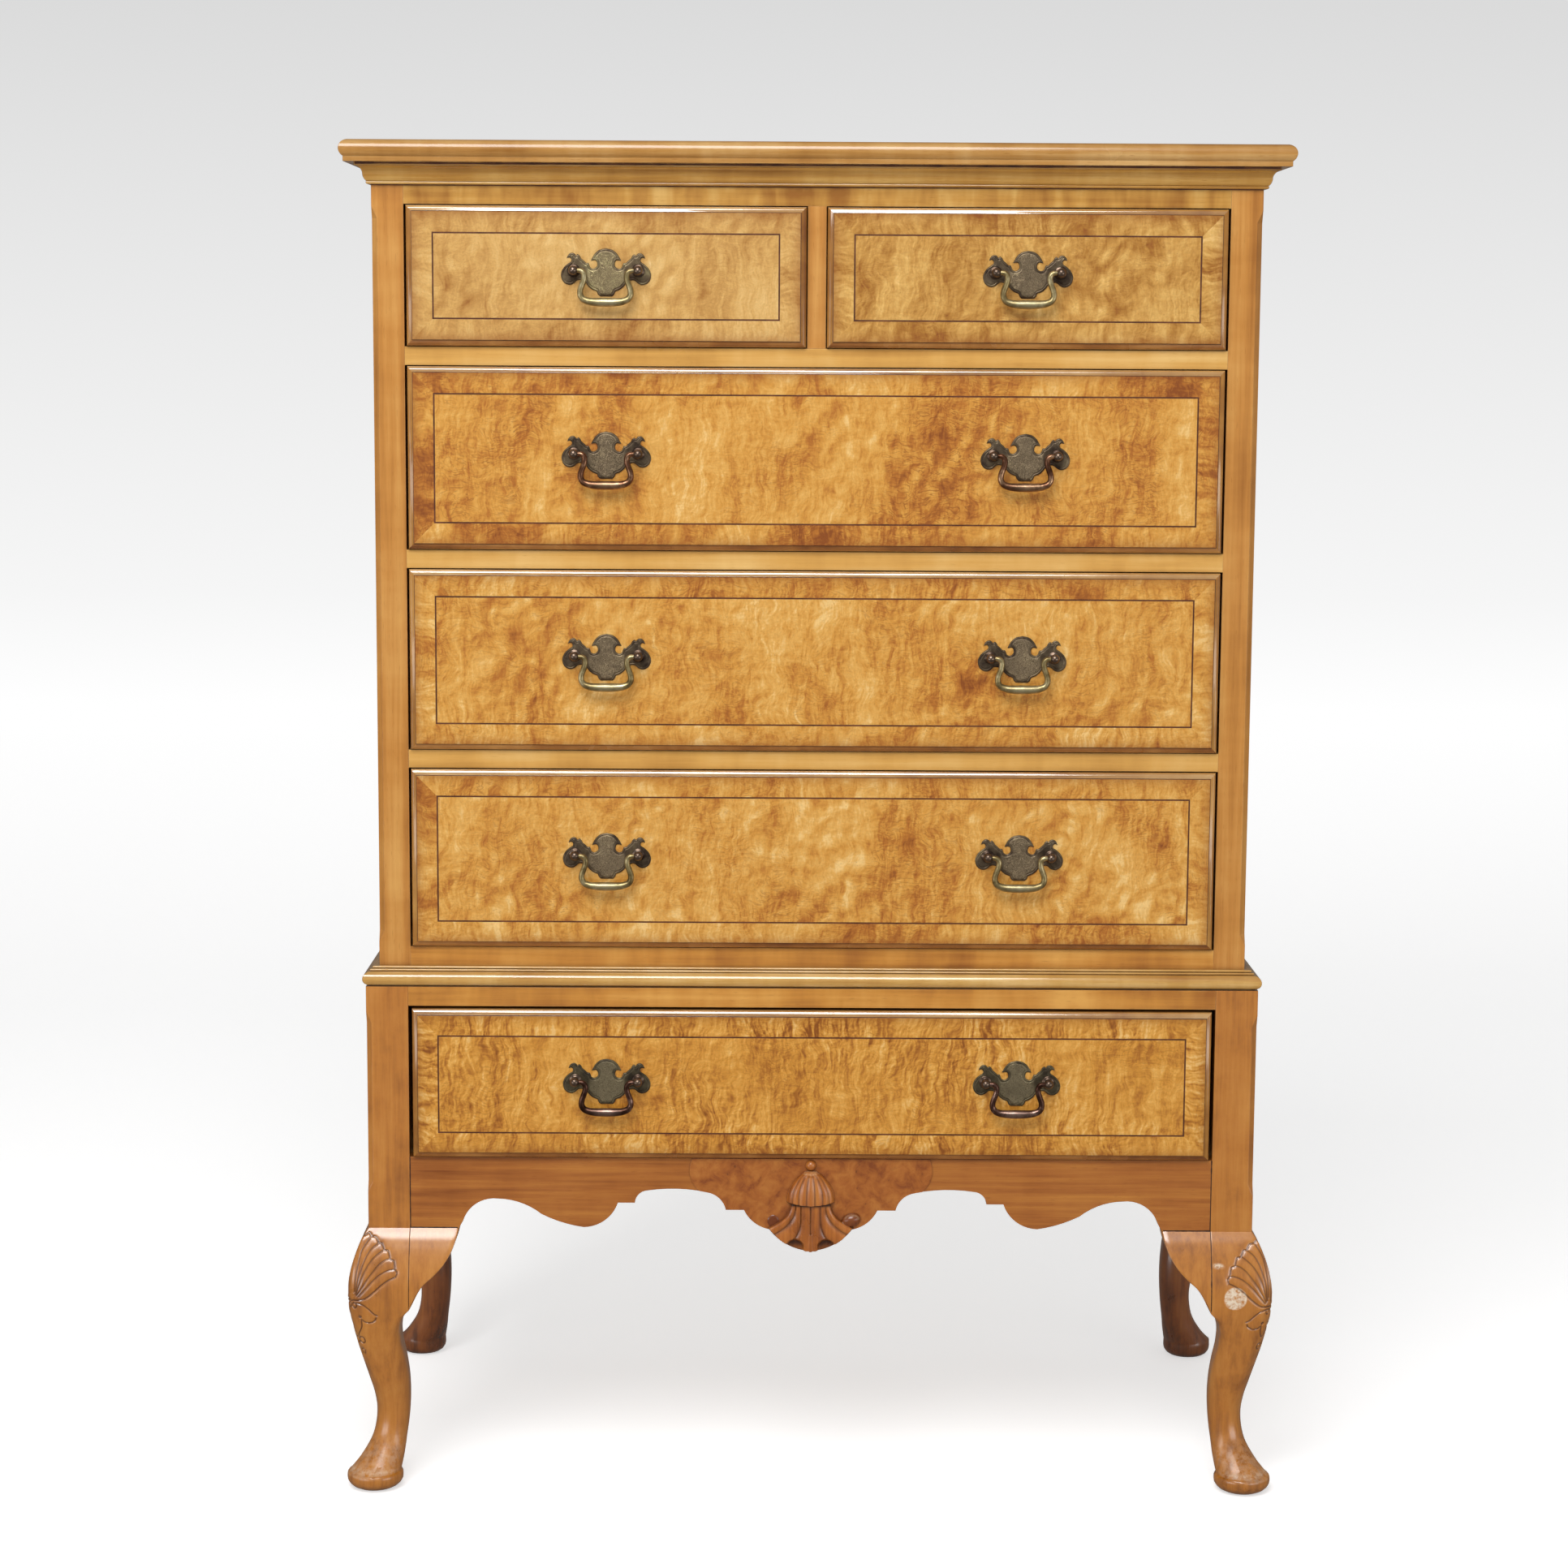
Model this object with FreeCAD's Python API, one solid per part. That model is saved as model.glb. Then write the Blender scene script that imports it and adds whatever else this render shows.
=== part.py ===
import FreeCAD
import Part
import math
import os

# Highboy: a chest of five drawers, moulded round its foot and head, on a stand that holds one
# long drawer between four cabriole legs. Each file in parts/ is one named piece, or one group of
# like pieces, as the thing comes apart on a bench. Millimetres, +Z up, the front faces -Y.
# The origin is on the floor, at the centre of the stand.

V = FreeCAD.Vector

# ------------------------------------------------------------------ driving sizes: the stand
STAND_WIDTH = 908.6
STAND_DEPTH = 468.0
POST = 43.0                     # square of each leg's post
LEG_HEIGHT = 276.7              # floor to the top of the knee
APRON_HEIGHT = 74.9
APRON_THICK = 22.0
STAND_SIDE_THICK = 20.0
STAND_BACK_THICK = 12.0
STAND_BACK_DROP = 239.0         # height of the stand's back board
STAND_RAIL_HEIGHT = 19.8
STAND_LEDGE = 12.8              # stand wider than the chest on it, each side
STAND_LEDGE_FRONT = 13.0        # and deeper, at the front
LOW_DRAWER_HEIGHT = 154.4
LOW_GAP_ABOVE = 2.5             # the low drawer's front has shrunk most
LOW_GAP_SIDE = 3.9

# ------------------------------------------------------------------ driving sizes: the chest
STILE_WIDTH = 31.8
STILE_THICK = 22.0
CHEST_SIDE_THICK = 20.0
BACK_THICK = 10.0
BACK_REBATE = 8.0               # how far the back boards lap over each side
BACK_BOARDS = 3
BOTTOM_RAIL_HEIGHT = 39.4
BOTTOM_BOARD_THICK = 18.0
RAIL_THICK = 18.4
RAIL_DEPTH = 60.0
TOP_RAIL_HEIGHT = 40.1
DIVIDER_WIDTH = 18.6
LONG_DRAWER_HEIGHT = 182.0
LONG_DRAWERS = 3
TOP_DRAWER_HEIGHT = 138.0

# ------------------------------------------------------------------ driving sizes: mouldings
BOARD_OVERHANG = 28.5           # top board past the chest's faces
BOARD_NOSE_RADIUS = 9.0
BOARD_STEP_HEIGHT = 3.5
BOARD_STEP_BACK = 4.0
CORNICE_HEIGHT = 21.0
CORNICE_OVERHANG = 15.0
# Bead, fillet, cove and plain run of the cornice: out from the chest's face, up from its foot.
CORNICE_PROFILE = (
    (0.0, 0.0), (3.2, 0.0), ((4.6, 1.5), (3.6, 3.0)), (4.4, 3.0), ((6.9, 6.6), (7.6, 10.6)),
    ((10.0, 15.4), (14.4, 17.6)), (CORNICE_OVERHANG, 17.6), (CORNICE_OVERHANG, CORNICE_HEIGHT),
    (0.0, CORNICE_HEIGHT))
WAIST_HEIGHT = 20.0
WAIST_NOSE_RADIUS = 7.0
WAIST_OVERHANG = 3.2            # nose past the stand's faces
WAIST_LIP = 1.0
WAIST_QUIRK = 0.3
WAIST_BEADS = (7.6, 5.2)        # where the two beads spring, out from the chest
WAIST_CLEAR = 0.3               # moulding to the chest that it holds
CHAMFER = 5.5                   # stopped chamfers on the front corners
CHAMFER_RUN_OUT = 12.0
CHEST_CHAMFER_FROM_TOP = 42.0
CHEST_CHAMFER_FROM_FOOT = 44.0
STAND_CHAMFER_FROM_TOP = 26.0
STAND_CHAMFER_FROM_KNEE = 38.0

# ------------------------------------------------------------------ driving sizes: drawers
GAP_BELOW = 0.7                 # front to the rail under it
GAP_ABOVE = 1.0
GAP_SIDE = 2.3                  # front to the stile
GAP_DIVIDER = 1.0
FRONT_INSET = 16.0              # front's back face, behind the face of the case
FRONT_PROUD = 8.0               # front's field, before the face of the case
EDGE_BAND = 6.0                 # width of the moulded edge round each front
EDGE_QUIRK = 1.2
EDGE_SQUARE = 0.8
BOX_INSET = 2.4                 # drawer side, inside the end of its front
BOX_SIDE_THICK = 12.0
BOX_BACK_THICK = 11.0
BOX_BOTTOM_THICK = 7.0
BOX_BOTTOM_UP = 9.0
BOX_TOP_DOWN = 9.0              # drawer side, below the top of its front
BOX_BACK_DOWN = 5.0
BOX_BACK_ROOM = 10.0            # between a closed drawer and the case's back
RUN_CLEAR = 0.3                 # drawer side above its runner
GUIDE_CLEAR = 0.5               # drawer side to its guide
RUNNER_WIDTH = 36.5
GUIDE_HEIGHT = 12.0
STAND_RUNNER_WIDTH = 23.3
STAND_RUNNER_HEIGHT = 22.0
STOP_WIDTH = 30.0
STOP_HEIGHT = 5.0
STOP_DEPTH = 5.6
STOP_CLEAR = 0.3

# ------------------------------------------------------------------ driving sizes: handles
HANDLE_BORE = 64.0              # between the two posts of a handle
HANDLE_SPREAD = 417.8           # between the two handles of a long drawer
HANDLE_LIFT = 5.4               # posts above the middle of the front
PLATE_THICK = 1.5
# Right half of the backplate from the middle of its head to the middle of its foot: across, up.
PLATE_OUTLINE = (
    (0.0, 21.8), ((10.4, 17.9), (15.1, 10.9)), (12.2, 10.3), ((9.3, 5.2), (15.2, 4.9)),
    ((19.6, 10.3), (25.0, 14.6)), ((30.5, 18.4), (35.2, 17.9)), (38.2, 14.2), (33.6, 10.6),
    ((41.2, 5.5), (44.4, -2.5)), ((41.9, -10.4), (34.8, -13.2)), (28.0, -8.6), (19.0, -9.6),
    ((16.6, -15.6), (10.4, -19.6)), (8.6, -19.8), (6.0, -25.0), (0.0, -25.0))
PLATE_CHORDS = 4                # straight filings that make each curve of the plate
BRASS_FLATS = 8                 # flats filed round the posts and bails
BALL_RADIUS = 4.7
BALL_STAND_OFF = 11.0           # ball centre before the plate
BALL_FACE = 2.4                 # half length of the ball's widest band
BALL_TIP_RADIUS = 2.2
NECK_RADIUS = 3.0
NECK_LENGTH = 6.6
FLANGE_RADIUS = 6.2
FLANGE_THICK = 1.2
SHANK_SQUARE = 3.8
SHANK_CLEAR = 0.2
SHANK_TAIL = 2.5
NUT_SQUARE = 9.0
NUT_THICK = 3.2
PIN_RADIUS = 1.5
PIN_CLEAR = 0.05
PIN_DEPTH = 1.2                 # pin past the ball's centre
PIN_END_ROOM = 0.3
BAIL_RADIUS = 2.05
BAIL_GRIP_RADIUS = 2.8
BAIL_NECK_HALF = 22.0           # half the bail's width at its pins
BAIL_ARM_DROP = 19.0
BAIL_ARM_FLARE = 2.5
BAIL_CORNER = 9.0
BAIL_CORNER_STEPS = 5

# ------------------------------------------------------------------ driving sizes: legs
FOOT_PAD_RADIUS = 29.0
FOOT_PAD_HEIGHT = 19.0
FOOT_LAP = 1.0                  # how far the shin runs down into the pad
FOOT_BASE_RADIUS = 16.0
FOOT_RIM_SHARE = 0.62           # height of the widest line, as a share of the pad's
FOOT_BELLY = (0.66, 0.36)       # the bowl's turn, as shares of its spread and of the rim's height
FOOT_LIP = 0.9
KNEE_BLOCK_WIDTH = 49.8
KNEE_BLOCK_DROP = 81.7
KNEE_BLOCK_BACK = 5.0           # block's back face past the post's middle
# Its lower edge, as shares of its width and drop: a hollow, a waist, then a cheek to the shin.
KNEE_BLOCK_HOLLOW = (0.84, 0.30)
KNEE_BLOCK_WAIST = (0.44, 0.60)
KNEE_BLOCK_CHEEK = (0.19, 0.77)

# The knee, beside its blocks: (share of KNEE_BLOCK_DROP down from the top, how far the two outer
# faces stand out from the post).
KNEE_SWELL = (
    (0.00, 0.0), (0.08, 4.8), (0.20, 9.5), (0.33, 13.6), (0.50, 17.8), (0.67, 20.4),
    (0.85, 21.1), (1.00, 20.4))
# The shin, from the pad foot up to the knee: (share of the way up, how far the outer faces stand
# out from the post, how far the inner faces stand in from it).
SHIN_SECTIONS = (
    (0.000, 22.8, 12.4), (0.045, 15.4, 10.8), (0.097, 8.7, 9.2), (0.182, 0.3, 7.4),
    (0.266, -3.4, 5.4), (0.350, -4.3, 4.0), (0.453, -1.9, 3.4), (0.548, 2.4, 4.1),
    (0.667, 7.8, 6.8), (0.785, 12.9, 10.6), (0.883, 16.5, 10.9), (0.938, 18.6, 8.0),
    (0.977, 19.9, 3.8), (1.000, 20.4, 0.0))
LEG_FLATS = 12                  # flats round a leg, three to each corner; its pad has twice as many
# Rounding of the section's corners, by share of LEG_HEIGHT: 0 is sharp, 1 is a full round.
OUTER_ROUND = ((0.0, 1.0), (0.30, 1.0), (0.72, 0.45), (1.0, 0.04))
INNER_ROUND = ((0.0, 1.0), (0.30, 1.0), (0.60, 0.50), (0.70, 0.04), (1.0, 0.04))

# ------------------------------------------------------------------ driving sizes: the aprons
# Heights are above the top of the knee. The middle of the front apron is set out from the
# centre, and both ends of every apron from the post: across, then up.
PENDANT_DROP = -22.3
PENDANT_BOW = (30.7, -11.2)
NOTCH = (42.6, 0.6)
LOBE_MID = (57.5, 7.2)
STEP_IN = (68.5, 20.8)
STEP_OUT = (87.2, 20.8)
ARCH_SPRING = (92.3, 31.2)
ARCH_START = (105.5, 38.9)
ARCH_CROWN = (138.0, 42.6)
ARCH_END = (168.5, 40.5)
ARCH_FALL = (176.9, 36.2)
SHELF_IN = (180.5, 27.6)
SHELF_OUT = (198.0, 27.6)
BELLY_IN = (210.6, 9.6)
BELLY_LOW = (233.0, 1.6)
RISE_SAG = 2.0                  # how far the run up from the belly bows down
END_RISE = (134.8, 15.3)
END_SHOULDER = (111.5, 27.8)
END_CROWN = (90.3, 31.3)
END_FALL = (65.4, 24.2)
END_TIP_TOP = (54.2, 7.6)

BURL_THICK = 1.0
BURL_TOP_HALF = 121.5
BURL_MID_HALF = 124.5
BURL_FOOT_HALF = 112.0
TASSEL_EDGE = 1.5               # carving inside the pendant's edge
TASSEL_RIBS = 7
# The tassel: (drop under the apron's top, half width, how far it stands off the burl panel).
TASSEL_CAP = (
    (0.8, 2.0, 2.0), (3.2, 4.8, 4.6), (6.2, 5.4, 5.4), (9.2, 4.6, 5.0), (11.6, 7.0, 6.4),
    (19.0, 15.0, 8.2), (29.0, 20.6, 10.0), (38.5, 23.4, 10.8), (47.0, 24.6, 11.2))
TASSEL_SKIRT = (
    (46.0, 20.0, 8.8), (56.0, 20.8, 9.2), (68.0, 23.2, 9.8), (80.0, 29.0, 10.0),
    (92.0, 38.0, 9.4), (98.0, 42.0, 9.0))

# ------------------------------------------------------------------ worked out from the above
post_x = STAND_WIDTH / 2 - POST / 2
post_y = STAND_DEPTH / 2 - POST / 2
inner_x = STAND_WIDTH / 2 - POST
inner_y = STAND_DEPTH / 2 - POST
stand_front = -STAND_DEPTH / 2
back_y = STAND_DEPTH / 2
shin_foot = FOOT_PAD_HEIGHT - FOOT_LAP
shin_top = LEG_HEIGHT - KNEE_BLOCK_DROP
apron_top = LEG_HEIGHT + APRON_HEIGHT
low_front_z = apron_top + GAP_BELOW
stand_rail_z = low_front_z + LOW_DRAWER_HEIGHT + LOW_GAP_ABOVE
stand_top = stand_rail_z + STAND_RAIL_HEIGHT
chest_half = STAND_WIDTH / 2 - STAND_LEDGE
chest_front = stand_front + STAND_LEDGE_FRONT
opening_half = chest_half - STILE_WIDTH
side_in = chest_half - CHEST_SIDE_THICK
back_in = back_y - BACK_THICK
bay = GAP_BELOW + LONG_DRAWER_HEIGHT + GAP_ABOVE
floor_z = stand_top + BOTTOM_RAIL_HEIGHT
rail_tops = [floor_z + level * (bay + RAIL_THICK) for level in range(LONG_DRAWERS + 1)]
top_rail_z = rail_tops[-1] + GAP_BELOW + TOP_DRAWER_HEIGHT + GAP_ABOVE
chest_top = top_rail_z + TOP_RAIL_HEIGHT


# ------------------------------------------------------------------ small makers
def box(x, y, z):
    """A block between two x values, two y values and two z values."""
    return Part.makeBox(x[1] - x[0], y[1] - y[0], z[1] - z[0], V(x[0], y[0], z[0]))


def mirror_x(shape):
    return shape.mirror(V(0, 0, 0), V(1, 0, 0))


def mirror_y(shape):
    return shape.mirror(V(0, 0, 0), V(0, 1, 0))


def in_xz(y):
    return lambda across, up: V(across, y, up)


def in_yz(x):
    return lambda across, up: V(x, across, up)


def in_xy(z):
    return lambda across, up: V(across, up, z)


def closed_face(steps, place, chords=0):
    """A flat face. A step is a point to run straight to, or a pair: a point on the arc, its end.

    With chords, each arc is cut as that many straight filings.
    """
    edges = []
    here = place(*steps[0])
    for step in list(steps[1:]) + [steps[0]]:
        if isinstance(step[0], tuple):
            end = place(*step[1])
            arc = Part.Arc(here, place(*step[0]), end).toShape()
            filed = arc.discretize(chords + 1) if chords else []
            edges += [Part.LineSegment(*pair).toShape() for pair in zip(filed, filed[1:])] or [arc]
        else:
            end = place(*step)
            if end.distanceToPoint(here) > 1e-6:
                edges.append(Part.LineSegment(here, end).toShape())
        here = end
    return Part.Face(Part.Wire(edges))


def mirrored(steps):
    """Half an outline, begun and ended on the centre line, made whole with its mirror image."""
    points = [steps[0]] + [step[1] if isinstance(step[0], tuple) else step for step in steps[1:]]
    whole = list(steps)
    for index in range(len(steps) - 1, 0, -1):
        end = (-points[index - 1][0], points[index - 1][1])
        if isinstance(steps[index][0], tuple):
            through = steps[index][0]
            whole.append(((-through[0], through[1]), end))
        else:
            whole.append(end)
    return whole


def between(value, knots):
    """Straight-line reading of a short list of (place, amount)."""
    for (low, first), (high, last) in zip(knots, knots[1:]):
        if value <= high:
            return first + (last - first) * (value - low) / (high - low)
    return knots[-1][1]


def one_solid(shape):
    """The single solid of a boolean's result."""
    solids = shape.Solids
    if len(solids) != 1:
        raise ValueError("expected one solid, found %d" % len(solids))
    return solids[0]


def flatted_ring(centre, along, radius):
    """Corners of BRASS_FLATS flats round a centre, in the plane square to a direction."""
    beside = V(0, 1, 0) if abs(along.y) < 0.5 else V(1, 0, 0)
    third = along.cross(beside)
    corners = []
    for index in range(BRASS_FLATS):
        angle = 2 * math.pi * (index + 0.5) / BRASS_FLATS
        corners.append(centre + beside * (radius * math.cos(angle)) + third * (radius * math.sin(angle)))
    return corners


def flatted_solid(rings):
    """Solid with flat facets from ring to ring: one to a side, or two where the side twists."""
    faces = [Part.Face(Part.makePolygon(ring + ring[:1])) for ring in (rings[0], rings[-1])]
    for low, high in zip(rings, rings[1:]):
        for index, corner in enumerate(low):
            after = (index + 1) % len(low)
            facet = [corner, low[after], high[after], high[index]]
            normal = (facet[1] - facet[0]).cross(facet[2] - facet[0]).normalize()
            is_flat = abs((facet[3] - facet[0]).dot(normal)) < 1e-7
            parts = [facet] if is_flat else [facet[:3], [facet[0]] + facet[2:]]
            faces += [Part.Face(Part.makePolygon(part + part[:1])) for part in parts]
    solid = Part.makeSolid(Part.makeShell(faces))
    if solid.Volume < 0:
        solid.reverse()
    return solid


def save(name, *shapes):
    """Write one node: a solid, or a group of separate solids."""
    solids = [solid for shape in shapes for solid in shape.Solids]
    whole = solids[0] if len(solids) == 1 else Part.makeCompound(solids)
    whole.exportStep("parts/%s.step" % name)


# ------------------------------------------------------------------ mitred mouldings
def wrapped_moulding(profile, half, front, foot_z, reach):
    """Front length and two returns of a moulding round a case, mitred at the front corners.

    The profile is (out from the case's face, up from foot_z).
    """
    far = half + reach
    front_run = closed_face(profile, lambda out, up: V(-far, front - out, foot_z + up))
    front_run = front_run.extrude(V(2 * far, 0, 0))
    side_run = closed_face(profile, lambda out, up: V(half + out, front - reach, foot_z + up))
    side_run = side_run.extrude(V(0, back_y - front + reach, 0))
    height = max(step[1][1] if isinstance(step[0], tuple) else step[1] for step in profile)
    corners = [(-half, front), (half, front), (far, front - reach), (-far, front - reach)]
    front_keep = closed_face(corners, in_xy(foot_z)).extrude(V(0, 0, height))
    corners = [(half, front), (far, front - reach), (far, back_y), (half, back_y)]
    side_keep = closed_face(corners, in_xy(foot_z)).extrude(V(0, 0, height))
    front_piece = one_solid(front_run.common(front_keep))
    side_piece = one_solid(side_run.common(side_keep))
    return front_piece, side_piece, mirror_x(side_piece)


def top_board():
    """The top board: half-round nose on its front and ends over a small square step."""
    nose = BOARD_NOSE_RADIUS
    step = BOARD_STEP_BACK
    nose_z = BOARD_STEP_HEIGHT + nose
    step_z = nose_z - math.sqrt(nose ** 2 - (nose - step) ** 2)
    thick = nose_z + nose
    wide = chest_half + BOARD_OVERHANG
    deep = back_y - chest_front + BOARD_OVERHANG

    def to_the_nose(reach):
        return [(0.0, 0.0), (reach - step, 0.0), (reach - step, step_z),
                ((reach, nose_z), (reach - nose, thick)), (0.0, thick)]

    across = closed_face(mirrored(to_the_nose(wide)), lambda x, up: V(x, back_y, chest_top + up))
    along = closed_face(to_the_nose(deep), lambda out, up: V(-wide, back_y - out, chest_top + up))
    return one_solid(across.extrude(V(0, -deep, 0)).common(along.extrude(V(2 * wide, 0, 0))))


def cornice():
    """Cove cornice under the top board: fillet, cove, plain run and a small bead."""
    return wrapped_moulding(CORNICE_PROFILE, chest_half, chest_front,
                            chest_top - CORNICE_HEIGHT, 2 * CORNICE_OVERHANG)


def waist_moulding():
    """Moulding on top of the stand that holds the chest's foot: two beads over a bold nose."""
    tip = STAND_LEDGE - WAIST_CLEAR + WAIST_OVERHANG
    nose = WAIST_NOSE_RADIUS
    nose_in = tip - nose
    nose_top = WAIST_LIP + 2 * nose
    bead = (WAIST_HEIGHT - nose_top) / 2 - WAIST_QUIRK
    low_bead = nose_top + WAIST_QUIRK
    high_bead = low_bead + bead + WAIST_QUIRK
    low_out, high_out = WAIST_BEADS
    profile = [(0.0, 0.0), (nose_in - WAIST_LIP, 0.0), (nose_in - WAIST_LIP, WAIST_LIP),
               (nose_in, WAIST_LIP), ((tip, WAIST_LIP + nose), (nose_in, nose_top)),
               (low_out, nose_top), (low_out, low_bead),
               ((low_out + bead / 2, low_bead + bead / 2), (low_out, low_bead + bead)),
               (high_out, low_bead + bead), (high_out, high_bead),
               ((high_out + bead / 2, high_bead + bead / 2), (high_out, WAIST_HEIGHT)),
               (0.0, WAIST_HEIGHT)]
    return wrapped_moulding(profile, chest_half + WAIST_CLEAR, chest_front - WAIST_CLEAR,
                            stand_top, 3 * nose)


def chamfer_cutter(x, y, foot, top):
    """Cutter for a stopped chamfer on the front corner at +x, fading out at both ends."""
    wires = []
    ends = ((foot, 0.02), (foot + CHAMFER_RUN_OUT, CHAMFER),
            (top - CHAMFER_RUN_OUT, CHAMFER), (top, 0.02))
    for z, size in ends:
        past = CHAMFER
        corners = [(x + past, y - past), (x + past, y + size + past), (x - size - past, y - past)]
        wires.append(Part.makePolygon([V(a, b, z) for a, b in corners + corners[:1]]))
    return Part.makeLoft(wires, True, True)


# ------------------------------------------------------------------ the stand
def flatted_square(centre, half, outer_round, inner_round, z):
    """Corners of LEG_FLATS flats about (centre, centre): a square with its corners worked off."""
    step = 2 * math.pi / LEG_FLATS
    reaches = []
    for index in range(LEG_FLATS):
        across = math.cos(index * step)
        along = math.sin(index * step)
        square = abs(across) + abs(along)
        is_outer = across > 0 and along > 0
        rounding = outer_round if is_outer else inner_round
        reaches.append(half * (square + (1 - square) * rounding))
    corners = []
    for index, reach in enumerate(reaches):
        following = reaches[(index + 1) % LEG_FLATS]
        angle = index * step
        x = (reach * math.sin(angle + step) - following * math.sin(angle)) / math.sin(step)
        y = (following * math.cos(angle) - reach * math.cos(angle + step)) / math.sin(step)
        corners.append(V(centre + x, centre + y, z))
    return corners


def leg_section(z, swell, setback):
    out = POST / 2 + swell
    inward = POST / 2 - setback
    share = z / LEG_HEIGHT
    return flatted_square((out - inward) / 2, (out + inward) / 2, between(share, OUTER_ROUND),
                          between(share, INNER_ROUND), z)


def foot_pad():
    """Round pad foot: a shallow bowl with a thin lip, turned about its own centre."""
    centre = sum(SHIN_SECTIONS[0][1:]) / 2
    wide = FOOT_PAD_RADIUS
    high = FOOT_PAD_HEIGHT
    base = FOOT_BASE_RADIUS
    rim = FOOT_RIM_SHARE * high
    stages = ((0.0, base), (rim * FOOT_BELLY[1], base + (wide - base) * FOOT_BELLY[0]), (rim, wide),
              (high, wide - FOOT_LIP))
    flats = 2 * LEG_FLATS
    turns = [2 * math.pi * index / flats for index in range(flats)]
    return flatted_solid([[V(centre + radius * math.cos(turn), centre + radius * math.sin(turn), z)
                           for turn in turns] for z, radius in stages])


def leg(chamfered):
    """One leg with its post, for the +x +y corner; its knee and foot point out at 45 degrees."""
    half = POST / 2
    post = box((-half, half), (-half, half), (LEG_HEIGHT, stand_top))
    knee = flatted_solid([leg_section(LEG_HEIGHT - share * KNEE_BLOCK_DROP, swell, 0.0)
                          for share, swell in KNEE_SWELL])
    shin = flatted_solid([leg_section(shin_foot + share * (shin_top - shin_foot), swell, setback)
                          for share, swell, setback in SHIN_SECTIONS])
    shape = post.fuse([knee, shin, foot_pad()])
    shape.translate(V(post_x, post_y, 0))
    if chamfered:
        cutter = chamfer_cutter(STAND_WIDTH / 2, stand_front,
                                LEG_HEIGHT + STAND_CHAMFER_FROM_KNEE,
                                stand_top - STAND_CHAMFER_FROM_TOP)
        shape = mirror_y(shape).cut(cutter)
    return one_solid(shape)


def knee_block():
    """Block beside a knee, from the post's inner face along x; the knee's swell runs over it."""
    half = POST / 2
    drop = KNEE_BLOCK_DROP
    wide = KNEE_BLOCK_WIDTH
    top = LEG_HEIGHT
    rings = []
    for share, swell in KNEE_SWELL:
        z = top - share * drop
        outline = [(-half - wide, -KNEE_BLOCK_BACK), (-half, -KNEE_BLOCK_BACK),
                   (-half, half + swell), (-half - wide, half + swell)]
        rings.append([V(a, b, z) for a, b in outline])
    slab = flatted_solid(rings)

    def at(across, down):
        return (-half - across * wide, top - down * drop)

    outline = [at(0.0, 0.0), at(1.0, 0.0), (at(*KNEE_BLOCK_HOLLOW), at(*KNEE_BLOCK_WAIST)),
               (at(*KNEE_BLOCK_CHEEK), at(0.0, 1.0))]
    keep = closed_face(outline, in_xz(-POST)).extrude(V(0, 3 * POST, 0))
    return one_solid(slab.common(keep))


def swapped(shape):
    """The same piece with its x and y exchanged."""
    return shape.mirror(V(0, 0, 0), V(1, -1, 0))


def knee_blocks():
    along_x = knee_block()
    along_y = swapped(along_x)
    for shape in (along_x, along_y):
        shape.translate(V(post_x, post_y, 0))
    front = mirror_y(along_x)
    sides = [along_y, mirror_y(along_y)]
    return [front, mirror_x(front)], sides + [mirror_x(side) for side in sides]


def up(point):
    return (point[0], LEG_HEIGHT + point[1])


def apron_end(span):
    """The rise from the middle of an apron to the tip beside its knee block."""
    def from_post(point):
        return (span - point[0], LEG_HEIGHT + point[1])

    return [(from_post(END_SHOULDER), from_post(END_CROWN)),
            (from_post(END_FALL), from_post(END_TIP_TOP)),
            from_post((KNEE_BLOCK_WIDTH, 0.0)), from_post((0.0, 0.0))]


def apron_outline():
    rise = (inner_x - END_RISE[0], LEG_HEIGHT + END_RISE[1])
    low = up(BELLY_LOW)
    turn = ((low[0] + rise[0]) / 2, (low[1] + rise[1]) / 2 - RISE_SAG)
    half = [(0.0, LEG_HEIGHT + PENDANT_DROP),
            (up(PENDANT_BOW), up(NOTCH)),
            (up(LOBE_MID), up(STEP_IN)), up(STEP_OUT),
            (up(ARCH_SPRING), up(ARCH_START)), (up(ARCH_CROWN), up(ARCH_END)),
            (up(ARCH_FALL), up(SHELF_IN)), up(SHELF_OUT),
            (up(BELLY_IN), low), (turn, rise)]
    return half + apron_end(inner_x) + [(inner_x, apron_top), (0.0, apron_top)]


def front_apron():
    face = closed_face(mirrored(apron_outline()), in_xz(stand_front))
    return one_solid(face.extrude(V(0, APRON_THICK, 0)))


def burl_panel():
    """Thin burl facing over the middle of the apron, cut to the apron's lower edge."""
    outline = closed_face(mirrored(apron_outline()), in_xz(stand_front - BURL_THICK))
    slab = outline.extrude(V(0, BURL_THICK, 0))
    foot = LEG_HEIGHT + PENDANT_DROP - 1.0
    half = [(0.0, foot), (BURL_FOOT_HALF, foot), (BURL_FOOT_HALF, LEG_HEIGHT + ARCH_START[1]),
            ((BURL_MID_HALF, apron_top - 0.4 * (APRON_HEIGHT - ARCH_START[1])),
             (BURL_TOP_HALF, apron_top)), (0.0, apron_top)]
    keep = closed_face(mirrored(half), in_xz(stand_front - BURL_THICK - 1.0))
    return one_solid(slab.common(keep.extrude(V(0, BURL_THICK + 2.0, 0))))


def tassel_part(rows):
    """Ribbed half-round on the burl panel; a row is (drop, half width, height off the panel)."""
    face_y = stand_front - BURL_THICK
    rings = []
    for drop, half, rise in rows:
        corners = []
        for index in range(TASSEL_RIBS + 1):
            angle = math.pi * index / TASSEL_RIBS
            corners.append(V(half * math.cos(angle), face_y - rise * math.sin(angle), apron_top - drop))
        rings.append(corners)
    return flatted_solid(rings)


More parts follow.
